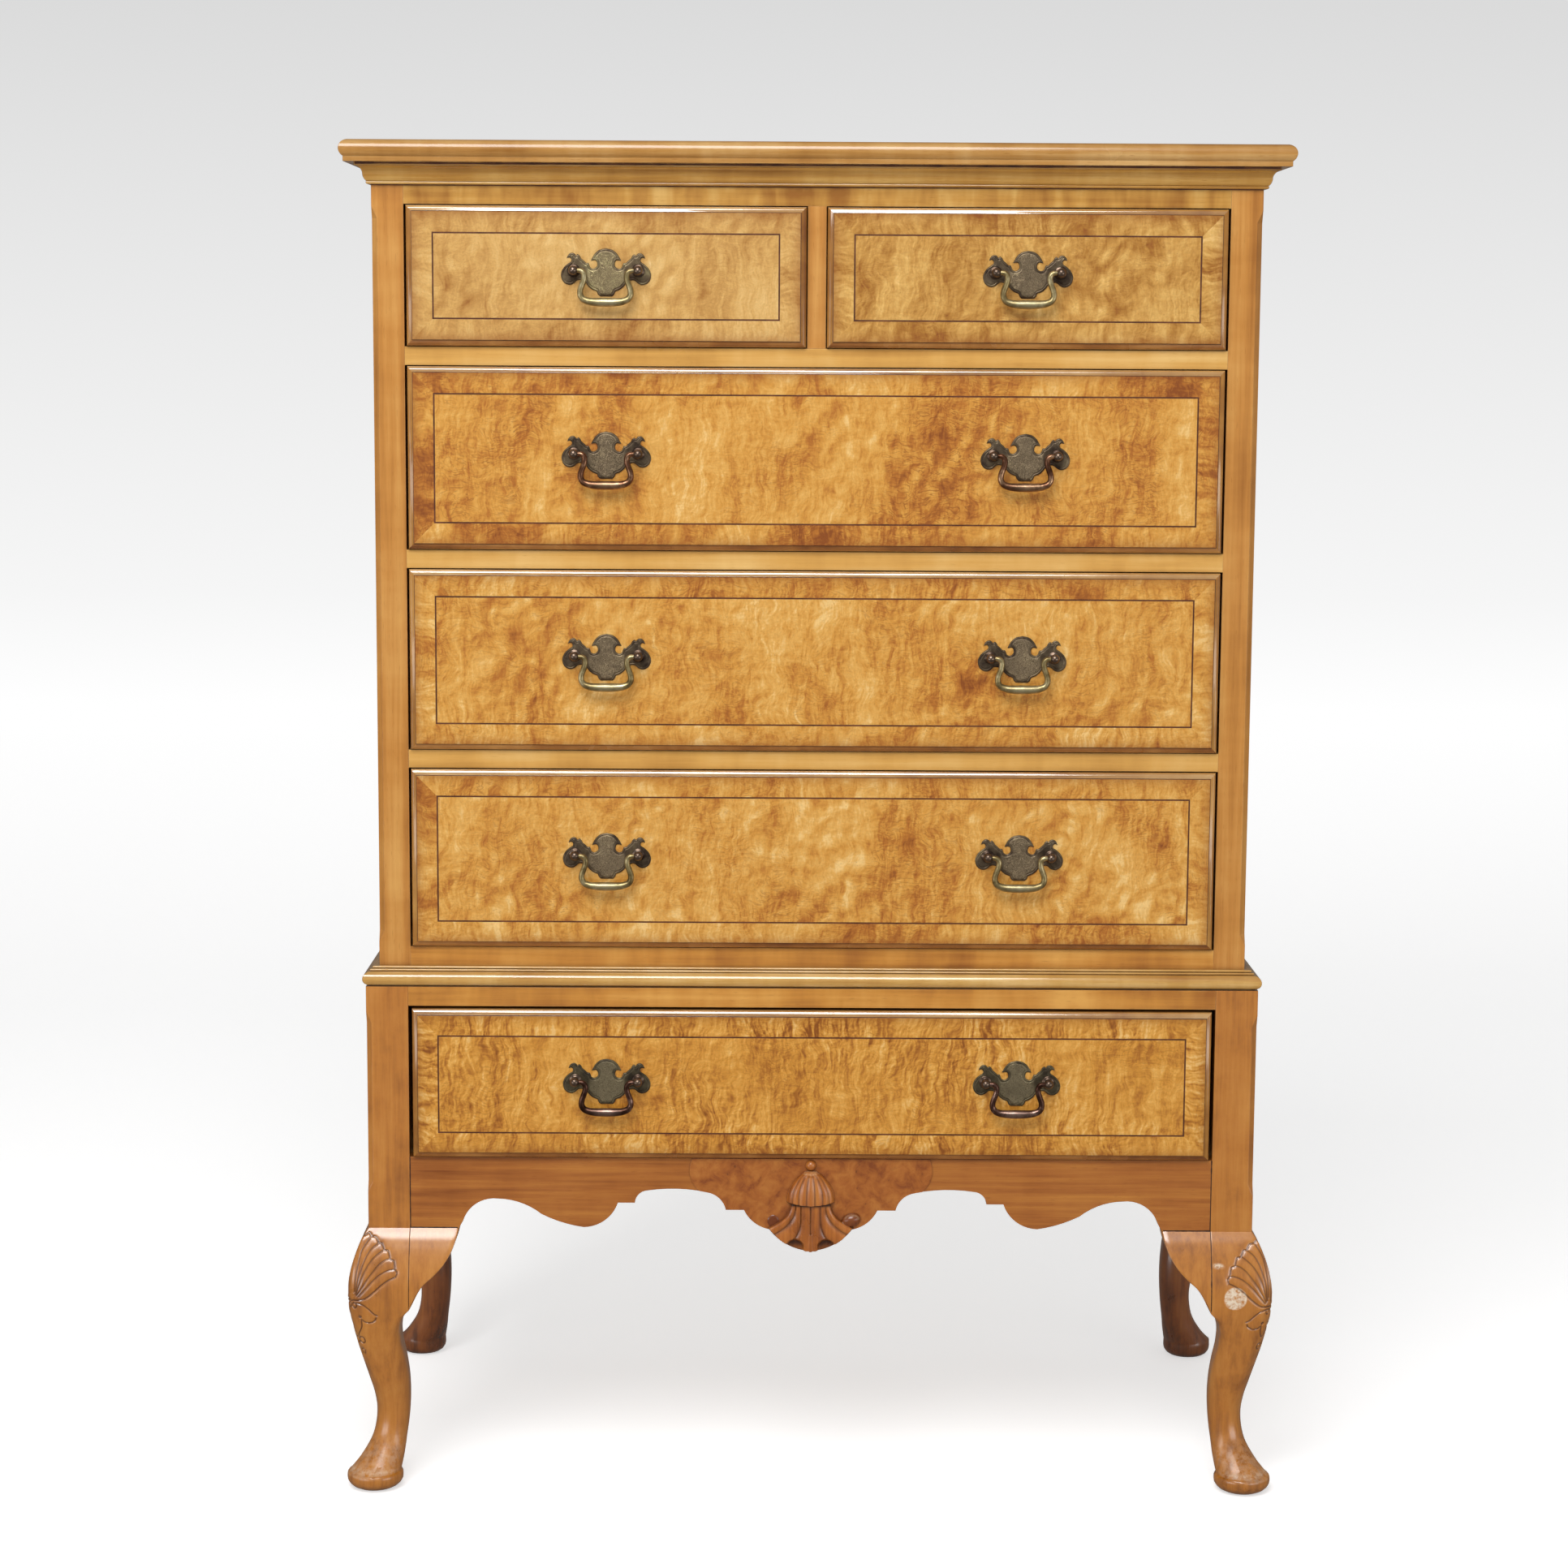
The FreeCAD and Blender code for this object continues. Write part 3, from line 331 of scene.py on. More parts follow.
@dataclass(frozen=True)
class QuiltedVeneer(Finish):
    """Blister and quilted maple veneer, laid, scraped and varnished.

    Gives the eye pale blisters with dark shoulders in painted light and shade, upright flames of curl, cloudy
    brown mottling and fine wandering dark grain lines.
    """

    seed: float = 0.0
    upright: bool = True
    mottle: float = 1.0
    quilt: float = 1.0
    curl: float = 1.0
    lines: float = 0.5
    fine: float = 1.0
    tone: float = 0.52
    band: float = -0.06
    darkest: str = "#8a4a1a"
    dark: str = "#b46f28"
    middle: str = "#d2953e"
    light: str = "#dfa956"
    lightest: str = "#ecc27a"

    def surface(self, graph: Graph) -> dict[str, Any]:
        """Lay the nodes of the figured veneer.

        Args:
            graph: The material's nodes.

        Returns:
            What the shader gets, by socket name.
        """
        add = graph.add
        spot = add(
            "Mapping", {"Vector": add("TexCoord", out="Object"), "Rotation": (0.0,
            0.0 if self.upright else math.pi / 2, 0.0), "Location": (self.seed, self.seed * 0.37,
            self.seed * 1.31)})
        where = add("Mapping", {"Vector": spot, "Scale": (1.0, 0.02, 1.0)})
        drift = add("TexNoise", {"Vector": where, "Scale": 1000 / 42, "Detail": 2.5}, "Color")
        drift = add("VectorMath", (drift, (0.5, 0.5, 0.5)), operation="SUBTRACT")
        drift = add("VectorMath", {0: drift, "Scale": 0.032}, operation="SCALE")
        bent = add("VectorMath", (where, drift), operation="ADD")
        zones = add("TexNoise", {"Vector": where, "Scale": 1000 / 120, "Detail": 2.0})
        shown = {Zone.BLISTERED: add("MapRange", (zones, 0.42, 0.60, 0.1, 1.0)),
                 Zone.CURLED: add("MapRange", (zones, 0.60, 0.42, 0.35, 1.0))}
        tone: Any = self.tone
        for layer in FIGURES:
            height, slope_light = layer.read(graph, bent)
            # The shoulders' slope paints light and shade into the tone; the height adds the figure's own
            # tone.
            shoulders, heights = (slope_light, 0.0, layer.slope), (height, layer.middle, layer.height)
            for value, middle, (gain, zone) in (shoulders, heights):
                lifted = add("Math", (value, middle), operation="SUBTRACT")
                if zone in shown:
                    lifted = add("Math", (lifted, shown[zone]), operation="MULTIPLY")
                gain *= getattr(self, zone.value)
                tone = add("Math", (lifted, gain, tone), operation="MULTIPLY_ADD")
        patches_at = add("Mapping", {"Vector": where, "Scale": (1.0, 1.0, 0.6)})
        patches = add("TexNoise", {"Vector": patches_at, "Scale": 1000 / 85, "Detail": 5.0, "Roughness": 0.58,
                                   "Distortion": 0.5})
        lifted = add("Math", (patches, 0.5), operation="SUBTRACT")
        tone = add("Math", (lifted, 1.45 * self.mottle, tone), operation="MULTIPLY_ADD")
        colour = add(
            "ValToRGB", (tone,), stops=((0.0, self.darkest), (0.24, self.dark), (0.52, self.middle),
            (0.78, self.light), (1.0, self.lightest)))
        # Grain lines: thin dark contours, running level, 2 to 3 mm apart where they show.
        level = add("Mapping", {"Vector": bent, "Scale": (0.16, 1.0, 1.0)})
        hills = add("TexNoise", {"Vector": level, "Scale": 1000 / 26, "Detail": 4.0, "Roughness": 0.65})
        folds = add("Math", (hills, 34.0), operation="MULTIPLY")
        folds = add("Math", (folds, 1.0), operation="PINGPONG")
        thread = add("MapRange", (folds, 0.0, 0.36, 1.0, 0.0))
        line_zone = add("MapRange", (patches, 0.58, 0.40, 0.0, self.lines * 1.3))
        inked = add("Math", (thread, line_zone), operation="MULTIPLY")
        # Darker toward the moulded edge.
        dirt = add("Attribute", out="Fac", attribute_name="dirt")
        edge_darkening = add("Math", (dirt, 3.0), operation="POWER")
        edge_darkening = add("Math", (edge_darkening, 0.5), operation="MULTIPLY")
        # Pores and specks: under 1 mm, drawn at 1.6 mm so that they show.
        pores = add("TexNoise", {"Vector": where, "Scale": 1000 / 1.6, "Detail": 2.0})
        speck = add("MapRange", (pores, 0.70, 0.80, 0.0, 0.6))
        for amount in (inked, edge_darkening, speck):
            colour = add("Mix", {0: amount, 6: colour, 7: self.darkest}, 2, data_type="RGBA")
        fine = add("MapRange", (pores, 0.30, 0.70, 1.06, 0.93))
        colour = add("VectorMath", {0: colour, "Scale": fine}, operation="SCALE")
        rough = add("MapRange", (patches, 0.0, 1.0, 0.24, 0.40))
        bump = add("Bump", {"Height": pores, "Strength": 0.10, "Distance": 0.2 * MM})
        return {"Base Color": colour, "Roughness": rough, "IOR": 1.5, "Normal": bump, "Coat Weight": 0.25,
                "Coat Roughness": 0.10}


@dataclass(frozen=True)
class DarkLine(Finish):
    """Dyed string inlay or the wax-filled quirk beside a moulding.

    Gives the eye a thin purple-brown line whose depth of colour comes and goes.
    """

    dark: str
    light: str
    roughness: float = 0.4

    def surface(self, graph: Graph) -> dict[str, Any]:
        """Lay the nodes of the dark line.

        Args:
            graph: The material's nodes.

        Returns:
            What the shader gets, by socket name.
        """
        add = graph.add
        fade = add("TexNoise", {"Vector": add("TexCoord", out="Object"), "Scale": 1000 / 18, "Detail": 4.0,
                                "Roughness": 0.7})
        spread = add("MapRange", (fade, 0.38, 0.68))
        colour = add("ValToRGB", (spread,), stops=((0.0, self.dark), (1.0, self.light)))
        rough = add("MapRange", (fade, 0.0, 1.0, self.roughness - 0.08, self.roughness + 0.15))
        bump = add("Bump", {"Height": fade, "Strength": 0.2, "Distance": 0.1 * MM})
        return {"Base Color": colour, "Roughness": rough, "IOR": 1.5, "Normal": bump}


@dataclass(frozen=True)
class BurlVeneer(Finish):
    """Maple burl, sliced, laid and varnished.

    Gives the eye a smooth orange-brown field with faint clouds, small eyes, dark specks and painted shade in
    its hollows.
    """

    dark: str = "#854316"
    middle: str = "#a65e1f"
    light: str = "#b6702b"
    smudged: str = "#6e3413"
    eye: str = "#542a12"

    def surface(self, graph: Graph) -> dict[str, Any]:
        """Lay the nodes of the burl.

        Args:
            graph: The material's nodes.

        Returns:
            What the shader gets, by socket name.
        """
        add = graph.add
        place = add("TexCoord", out="Object")
        swirl = add("TexNoise", {"Vector": place, "Scale": 1000 / 15, "Detail": 6.0, "Roughness": 0.66,
                                 "Distortion": 0.5})
        spread = add("MapRange", (swirl, 0.34, 0.66))
        colour = add("ValToRGB", (spread,), stops=((0.0, self.dark), (0.5, self.middle), (1.0, self.light)))
        # Smudges: dark clouds 10 mm across that gather here and there.
        smoke = add("TexNoise", {"Vector": place, "Scale": 1000 / 16, "Detail": 6.0, "Roughness": 0.7})
        smudge = add("MapRange", (smoke, 0.58, 0.76, 0.0, 0.55))
        eyes = add("TexVoronoi", {"Vector": place, "Scale": 1000 / 9, "Randomness": 1.0})
        speck = add("MapRange", (eyes, 0.20, 0.07))
        chosen = add("MapRange", (swirl, 0.52, 0.40, 0.0, 0.8))
        eyed = add("Math", (speck, chosen), operation="MULTIPLY")
        for amount, code in ((smudge, self.smudged), (eyed, self.eye)):
            colour = add("Mix", {0: amount, 6: colour, 7: code}, 2, data_type="RGBA")
        # Aged arrises, and painted shade in hollows in the joint colour.
        colour = age_arrises_and_paint_shade(graph, colour, "#4a2210", "#cf9a63", 0.3)
        bump = add("Bump", {"Height": swirl, "Strength": 0.06, "Distance": 0.3 * MM})
        rough = add("MapRange", (swirl, 0.0, 1.0, 0.34, 0.48))
        return {"Base Color": colour, "Roughness": rough, "IOR": 1.5, "Normal": bump, "Coat Weight": 0.2,
                "Coat Roughness": 0.2}


@dataclass(frozen=True)
class CarvedMaple(Finish):
    """Stained maple, sawn, spokeshaved and carved, under old varnish.

    Gives the eye an orange-brown limb with grain down its length, dark wax in every cut of the carving,
    painted shade on the legs' inner faces and down the rear legs, pale scuffs where boots do, painted
    highlights on the tassel's upper edges, and painted shade in hollows. A piece paints these with its point
    values cut (0..1), wear and highlight (0..1) and shade (0..1).
    """

    dark: str = "#8d511a"
    middle: str = "#be7727"
    light: str = "#d08c39"
    ink: str = "#47230f"
    bare: str = "#e9d6bd"
    joint: str = "#3b1c0b"
    grain: Grain = Grain.UP
    streak_width: float = 1.8
    roughness: float = 0.26
    gloss: float = 0.75

    def surface(self, graph: Graph) -> dict[str, Any]:
        """Lay the nodes of the carved and worn limb.

        Args:
            graph: The material's nodes.

        Returns:
            What the shader gets, by socket name.
        """
        add = graph.add
        place = add("TexCoord", out="Object")
        turned = add("Mapping", {"Vector": place, "Rotation": self.grain.value})
        long_way = add("Mapping", {"Vector": turned, "Scale": (0.05, 1.0, 1.0)})
        streaks = add("TexNoise", {"Vector": long_way, "Scale": 1000 / self.streak_width / 4, "Detail": 6.0,
                                   "Roughness": 0.66})
        clouds = add("TexNoise", {"Vector": place, "Scale": 1000 / 60, "Detail": 5.0, "Roughness": 0.6})
        mixed = add("Mix", {0: 0.5, 2: streaks, 3: clouds})
        spread = add("MapRange", (mixed, 0.33, 0.69))
        colour = add("ValToRGB", (spread,), stops=((0.0, self.dark), (0.5, self.middle), (1.0, self.light)))
        # Aged arrises, and painted shade in hollows in the joint colour.
        colour = age_arrises_and_paint_shade(graph, colour, self.joint, self.bare, 0.12)
        scuff, shade, cut = (add("Attribute", out="Fac", attribute_name=n) for n in ("scuff", "shade", "cut"))
        chips = add("TexNoise", {"Vector": place, "Scale": 1000 / 5, "Detail": 5.0, "Roughness": 0.7})
        chips = add("MapRange", (chips, 0.36, 0.56))
        worn = add("Math", (scuff, 1.6), operation="POWER")
        bared = add("Math", (worn, chips), operation="MULTIPLY")
        for amount, code in ((bared, self.bare), (shade, self.dark), (cut, self.ink)):
            colour = add("Mix", {0: amount, 6: colour, 7: code}, 2, data_type="RGBA")
        rough = add("MapRange", (clouds, 0.0, 1.0, self.roughness - 0.05, self.roughness + 0.12))
        rough = add("Math", (bared, 0.3, rough), operation="MULTIPLY_ADD")
        bump = add("Bump", {"Height": streaks, "Strength": 0.12, "Distance": 0.3 * MM})
        # Where the varnish is rubbed thin it loses its gloss.
        coat = add("MapRange", (scuff, 0.0, 0.42, self.gloss, 0.0))
        return {"Base Color": colour, "Roughness": rough, "IOR": 1.5, "Normal": bump, "Coat Weight": coat,
                "Coat Roughness": 0.24, "Coat IOR": 1.9}


@dataclass(frozen=True)
class BareBoard(Finish):
    """Pine, sawn and planed, never varnished.

    Gives the eye a dry pale board with growth lines, dust and a few brown knots.
    """

    grain: Grain
    dark: str = "#8f6838"
    middle: str = "#b98f58"
    light: str = "#cfab78"
    knotty: str = "#5c3517"

    def surface(self, graph: Graph) -> dict[str, Any]:
        """Lay the nodes of the bare board.

        Args:
            graph: The material's nodes.

        Returns:
            What the shader gets, by socket name.
        """
        add = graph.add
        turned = add("Mapping", {"Vector": add("TexCoord", out="Object"), "Rotation": self.grain.value})
        long_way = add("Mapping", {"Vector": turned, "Scale": (0.05, 1.0, 1.0)})
        rings = add("TexWave", {"Vector": long_way, "Scale": 1000 / 22 / 6.28, "Distortion": 6.0,
                                "Detail": 3.0, "Detail Scale": 1.2}, "Fac", bands_direction="Y")
        dust = add("TexNoise", {"Vector": turned, "Scale": 1000 / 60, "Detail": 6.0, "Roughness": 0.65})
        mixed = add("Mix", {0: 0.5, 2: rings, 3: dust})
        colour = add("ValToRGB", (mixed,), stops=((0.15, self.dark), (0.5, self.middle), (0.9, self.light)))
        knots = add("TexVoronoi", {"Vector": turned, "Scale": 1000 / 210})
        knot = add("MapRange", (knots, 0.06, 0.035, 0.0, 0.8))
        colour = add("Mix", {0: knot, 6: colour, 7: self.knotty}, 2, data_type="RGBA")
        bump = add("Bump", {"Height": rings, "Strength": 0.25, "Distance": 0.3 * MM})
        rough = add("MapRange", (dust, 0.0, 1.0, 0.62, 0.86))
        return {"Base Color": colour, "Roughness": rough, "IOR": 1.5, "Normal": bump}


@dataclass(frozen=True)
class AgedBrass(Finish):
    """Cast brass, chased and left to tarnish.

    Gives the eye a dark olive-brown metal that is rubbed brighter on its high places, with painted highlights
    on the fronts of the balls and the bail's grip, and stippled chasing where the plate is engraved. A piece
    paints these with its point values chasing (0..1) and rubbing with highlight (0..1).
    """

    dark: str
    middle: str
    bright: str
    chased: float = 0.0
    metal: float = 0.75
    roughness: float = 0.42

    def surface(self, graph: Graph) -> dict[str, Any]:
        """Lay the nodes of the tarnished brass.

        Args:
            graph: The material's nodes.

        Returns:
            What the shader gets, by socket name.
        """
        add = graph.add
        place = add("TexCoord", out="Object")
        tarnish = add("TexNoise", {"Vector": place, "Scale": 1000 / 14, "Detail": 5.0, "Roughness": 0.62})
        spread = add("MapRange", (tarnish, 0.34, 0.70))
        colour = add("ValToRGB", (spread,), stops=((0.0, self.dark), (0.5, self.middle), (1.0, self.bright)))
        # Chasing: curling strokes and dots of the punch, about 1 mm across.
        curls = add("TexNoise", {"Vector": place, "Scale": 1000 / 2.2, "Detail": 2.0, "Distortion": 2.0})
        folds = add("Math", (curls, 9.0), operation="MULTIPLY")
        folds = add("Math", (folds, 1.0), operation="PINGPONG")
        zone, rubbed = (add("Attribute", out="Fac", attribute_name=n) for n in ("chasing", "rubbed"))
        stroke = add("Math", (folds, zone), operation="MULTIPLY")
        inked = add("MapRange", (stroke, 0.30, 0.75, 0.0, 0.9 * self.chased))
        for amount, code in ((rubbed, self.bright), (inked, self.dark)):
            colour = add("Mix", {0: amount, 6: colour, 7: code}, 2, data_type="RGBA")
        # The plain wings of a plate are handled less and stay darker than its chased middle.
        wings = add("MapRange", (zone, 0.0, 1.0, 1.0 - 0.45 * self.chased, 1.0))
        colour = add("VectorMath", {0: colour, "Scale": wings}, operation="SCALE")
        rough = add("MapRange", (tarnish, 0.0, 1.0, self.roughness + 0.12, self.roughness - 0.10))
        bump = add("Bump", {"Height": stroke, "Strength": 0.9 * self.chased, "Distance": 0.22 * MM})
        bump = add("Bump", {"Height": tarnish, "Strength": 0.25, "Distance": 0.2 * MM, "Normal": bump})
        return {"Base Color": colour, "Metallic": self.metal, "Roughness": rough, "Normal": bump}


@lru_cache(maxsize=None)
def material_of(finish: Finish) -> bpy.types.Material:
    """Build a finish's material once, and hand out the same one after that."""
    return finish.material()


# ---- the palette
@dataclass(frozen=True)
class BrassTone:
    """The tarnish of one handle: its plate, its balls and its bail."""

    plate: AgedBrass
    ball: AgedBrass
    bail: AgedBrass


STILE = VarnishedMaple(
    "stile maple", Grain.UP, "#a26626", "#c4853b", "#d8a054", curl=0.15, clouds=0.35, contrast=0.95,
    seed=0.3, gloss=0.3)
RAIL = VarnishedMaple(
    "rail maple", Grain.ACROSS, "#be883d", "#d9a453", "#e8bd73", curl=0.25, seed=1.1, contrast=0.9,
    gloss=0.3)
TOP_RAIL = VarnishedMaple(
    "top rail maple", Grain.ACROSS, "#9a6321", "#c49040", "#deb468", curl=0.6, contrast=1.3, seed=2.3,
    gloss=0.3)
FOOT_RAIL = VarnishedMaple(
    "foot rail maple", Grain.ACROSS, "#a06226", "#c98938", "#dfa450", curl=0.35, seed=3.1, gloss=0.3)
MOULDING = VarnishedMaple(
    "moulding maple", Grain.ACROSS, "#9c6622", "#c28d3e", "#ddb062", curl=0.20, clouds=0.3, seed=4.2,
    wear=0.4, roughness=0.18, gloss=1.0)
MOULDING_RETURN = replace(
    MOULDING, name="return moulding maple", grain=Grain.DEEP, dark="#96601f", middle="#bb873a",
    light="#d6a85a", seed=4.9)
SIDE_BOARD = VarnishedMaple(
    "side board maple", Grain.UP, "#a1672a", "#c68a41", "#dba862", curl=0.35, seed=5.4, contrast=1.2)
TOP_BOARD = VarnishedMaple(
    "top board maple", Grain.ACROSS, "#946023", "#b88543", "#d0a567", curl=0.20, clouds=0.3, seed=6.4,
    wear=0.4, roughness=0.24, gloss=0.6, polish=1.5)
WAIST = replace(MOULDING, name="waist moulding maple", dark="#b07a38", middle="#d0a055", light="#eac382")
WAIST_RETURN = replace(
    MOULDING_RETURN, name="waist return maple", dark="#a8702f", middle="#c8974c", light="#e2b877")
APRON = VarnishedMaple(
    "apron red maple", Grain.ACROSS, "#844513", "#a96424", "#bf7c30", streak_width=1.2, contrast=0.75,
    curl=0.10, clouds=0.4, seed=7.7, worn="#cf9f6c", roughness=0.38, gloss=0.25)
APRON_SIDE = replace(
    APRON, name="side apron red maple", grain=Grain.DEEP, dark="#83471a", middle="#a5632c", light="#b8753c",
    contrast=1.0, clouds=0.5, seed=8.8)
# The drawers' moulded edge in three copies: lighter on top as painted light, darker on the uprights in
# painted shade, darkest on the bottom in deeper painted shade.
EDGE_PAINTED_LIT = VarnishedMaple(
    "drawer edge maple", Grain.ACROSS, "#9a6430", "#c28f4c", "#dcb071", curl=0.3, seed=9.1, wear=0.5,
    roughness=0.16, gloss=1.0, polish=2.6)
EDGE_UP_PAINTED_SHADE = VarnishedMaple(
    "upright drawer edge maple in painted shade", Grain.UP, "#7d4a1e", "#a8722f", "#c49048", curl=0.3, seed=9.8, wear=0.4,
    roughness=0.22, gloss=0.6)
EDGE_LOW_PAINTED_SHADE = VarnishedMaple(
    "lower drawer edge maple in deep painted shade", Grain.ACROSS, "#693816", "#985f28", "#b98140", curl=0.3, seed=9.4, wear=0.4,
    roughness=0.26, gloss=0.4)
BURL = BurlVeneer("burl veneer")
INSIDE_DEEP = BareBoard("drawer pine", Grain.DEEP)
INSIDE_ACROSS = BareBoard("crosswise pine", Grain.ACROSS, "#7d5a30", "#a67f4d", "#bf9a69")
BACK_PINE = BareBoard("back board pine", Grain.ACROSS, "#84602f", "#aa8350", "#c49c66")
STRING = DarkLine("string inlay", "#4a210f", "#6e3a1e")
QUIRK = DarkLine("waxed quirk", "#3a1a0a", "#61351a", 0.5)
WAX = DarkLine("joint wax", "#1d0e07", "#4a2812", 0.55)
# Used at the cornice's joints: partly joint wax, partly painted shadow.
THIN_WAX_AND_SHADOW = DarkLine("thin joint wax and painted shadow", "#45220e", "#6b3c1a", 0.5)
LEG_MAPLE = CarvedMaple("leg maple")
# The rear legs: a darker copy of the leg maple, in painted shade.
REAR_MAPLE_PAINTED_SHADE = CarvedMaple("rear leg maple in painted shade", "#4a2209", "#a3591c", "#bd742c")
TASSEL_MAPLE = CarvedMaple(
    "tassel maple", "#6b3112", "#b06523", "#c98138", "#32150a", "#e3bd8f", streak_width=1.4, gloss=0.3)
BALL = AgedBrass("dark brass ball", "#3a2c24", "#5f4d40", "#857263", metal=0.85, roughness=0.28)
OLIVE = BrassTone(AgedBrass("olive brass plate", "#6c5745", "#a08c6b", "#cfc08c", 0.9), BALL,
                  AgedBrass("olive brass bail", "#74633e", "#a8976a", "#dccfa4", metal=0.85, roughness=0.36))
COPPER = BrassTone(AgedBrass("brown brass plate", "#554538", "#89765e", "#b09d7a", 0.9), BALL,
                   AgedBrass("coppery brass bail", "#4a2c1d", "#7c5640", "#cfa984", metal=0.9, roughness=0.3))
GREEN = BrassTone(AgedBrass("green brass plate", "#54493a", "#7f7358", "#a29472", 0.8), BALL,
                  AgedBrass("dark brass bail", "#3a2319", "#62453a", "#b89a8c", metal=0.9, roughness=0.3))
UMBER = BrassTone(COPPER.plate, BALL, OLIVE.bail)

# Each drawer's veneer and brass, by its CAD body.
DRAWERS = {
    "stand_drawer": (GREEN, QuiltedVeneer("stand drawer veneer", 11.0, mottle=0.55, quilt=0.4, curl=1.7,
    lines=0.3, tone=0.55, band=-0.02, darkest="#8a4d14", dark="#ae6d24", middle="#d09035", light="#e0a54c",
    lightest="#eabb70")), "lower_drawer": (UMBER, QuiltedVeneer("lower drawer veneer", 12.4, mottle=0.9,
    quilt=0.8, curl=0.9, lines=0.4, tone=0.58, band=0.0)), "middle_drawer": (UMBER,
    QuiltedVeneer("middle drawer veneer", 14.1, quilt=0.7, curl=0.9, lines=0.4, tone=0.55, band=0.05)),
    "upper_drawer": (COPPER, QuiltedVeneer("upper drawer veneer", 17.3, quilt=0.6, curl=0.8, lines=0.6,
    tone=0.49)), "top_left_drawer": (OLIVE, QuiltedVeneer("top left drawer veneer", 19.2, mottle=0.6,
    quilt=0.6, curl=0.6, lines=0.15, fine=0.5, dark="#b58240", middle="#d1a25b", light="#e1b873",
    lightest="#edcd96")), "top_right_drawer": (UMBER, QuiltedVeneer("top right drawer veneer", 21.9,
    mottle=0.9, quilt=0.7, curl=0.8, lines=0.3, fine=0.8, dark="#a9732c", middle="#c79448",
    light="#dbad60")),}


# ---- meshes
@dataclass
class Skin:
    """Points, faces and paint of one mesh, in millimetres."""

    points: list[Point3] = field(default_factory=list)
    faces: list[tuple[int, ...]] = field(default_factory=list)
    finish_numbers: list[int] = field(default_factory=list)
    paint: dict[str, list[float]] = field(default_factory=dict)

    def face(self, ring: Iterable[int], finish: int = 0, flip: bool = False) -> None:
        """Add one face through a ring of points.

        Args:
            ring: Numbers of the points.
            finish: Number of the face's finish.
            flip: Whether to turn the face over.
        """
        corners = tuple(ring)
        self.faces.append(corners[::-1] if flip else corners)
        self.finish_numbers.append(finish)

    def grid(self, rows: Sequence[Sequence[Point3]], wrap: bool = False, finish: int = 0,
             flip: bool = False, paint: dict[str, Sequence[Sequence[float]]] | None = None) -> int:
        """Add a sheet of quads through rows of points.

        Args:
            rows: Rows of equal length.
            wrap: Whether each row closes on itself.
            finish: Number of the finish on these faces.
            flip: Whether to turn the faces over.
            paint: Values laid out as the rows are.

        Returns:
            Number of the sheet's first point.
        """
        start = len(self.points)
        width = len(rows[0])
        for row in rows:
            self.points.extend(row)
        for name, values in (paint or {}).items():
            held = self.paint.setdefault(name, [])
            held.extend([0.0] * (start - len(held)))
            for row in values:
                held.extend(row)
        for low in range(start, start + (len(rows) - 1) * width, width):
            for c in range(width if wrap else width - 1):
                after = (c + 1) % width
                self.face((low + c, low + after, low + width + after, low + width + c), finish, flip)
        return start

    def tube(self, rows: Sequence[Sequence[Point3]], flip: bool = False,
             paint: dict[str, Sequence[Sequence[float]]] | None = None) -> None:
        """Add a sheet whose rows close on themselves, with a face over each end.

        Args:
            rows: Rows of equal length.
            flip: Whether to turn the faces over.
            paint: Values laid out as the rows are.
        """
        start = self.grid(rows, wrap=True, flip=flip, paint=paint)
        width = len(rows[0])
        last = start + (len(rows) - 1) * width
        self.face(range(start, start + width), flip=not flip)
        self.face(range(last, last + width), flip=flip)

    def drop_loose(self) -> None:
        """Leave out the points that no face uses."""
        used = sorted({point for face in self.faces for point in face})
        number = {point: place for place, point in enumerate(used)}
        self.points = [self.points[point] for point in used]
        self.faces = [tuple(number[point] for point in face) for face in self.faces]
        self.paint = {name: [values[point] for point in used] for name, values in self.paint.items()}

    def piece(self, name: str, body: str, finishes: Sequence[Finish], slot: str,
              smooth_within: float = 35.0) -> bpy.types.Object:
        """Make the object, dress it and let it ride.

        Args:
            name: Name of the piece.
            body: CAD body that it moves with.
            finishes: Its finishes, by number.
            slot: Not used.
            smooth_within: Edges sharper than this many degrees stay crisp.

        Returns:
            The new object.
        """
        mesh = bpy.data.meshes.new(name)
        mesh.from_pydata([Vector(p) * MM for p in self.points], [], self.faces)
        for finish in finishes:
            mesh.materials.append(material_of(finish))
        mesh.polygons.foreach_set("material_index", self.finish_numbers)
        for value_name, values in self.paint.items():
            layer = mesh.attributes.new(value_name, "FLOAT", "POINT")
            layer.data.foreach_set("value", values + [0.0] * (len(self.points) - len(values)))
        mesh.polygons.foreach_set("use_smooth", [True] * len(self.faces))
        mesh.set_sharp_from_angle(angle=math.radians(smooth_within))
        mesh.validate()
        thing = bpy.data.objects.new(name, mesh)
        bpy.context.scene.collection.objects.link(thing)
        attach(thing, body)
        return thing


def smooth_reading(knots: Knots) -> Callable[[Any], np.ndarray]:
    """Make a smooth curve through knots, as a batten bends round pins.

    Args:
        knots: Pairs of place and amount, in rising order of place.

    Returns:
        A function that reads the curve at an array of places.
    """
    xs, ys = np.array(knots, float).T
    slopes = np.gradient(ys, xs)

    def read(at: Any) -> np.ndarray:
        """Read the curve.

        Args:
            at: Places on it.

        Returns:
            The amounts there.
        """
        at = np.clip(np.asarray(at, float), xs[0], xs[-1])
        low = np.clip(np.searchsorted(xs, at, side="right") - 1, 0, len(xs) - 2)
        span = xs[low + 1] - xs[low]
        t = (at - xs[low]) / span
        h00, h10 = 2 * t**3 - 3 * t**2 + 1, t**3 - 2 * t**2 + t
        h01, h11 = -2 * t**3 + 3 * t**2, t**3 - t**2
        return h00 * ys[low] + h10 * span * slopes[low] + h01 * ys[low + 1] + h11 * span * slopes[low + 1]

    return read


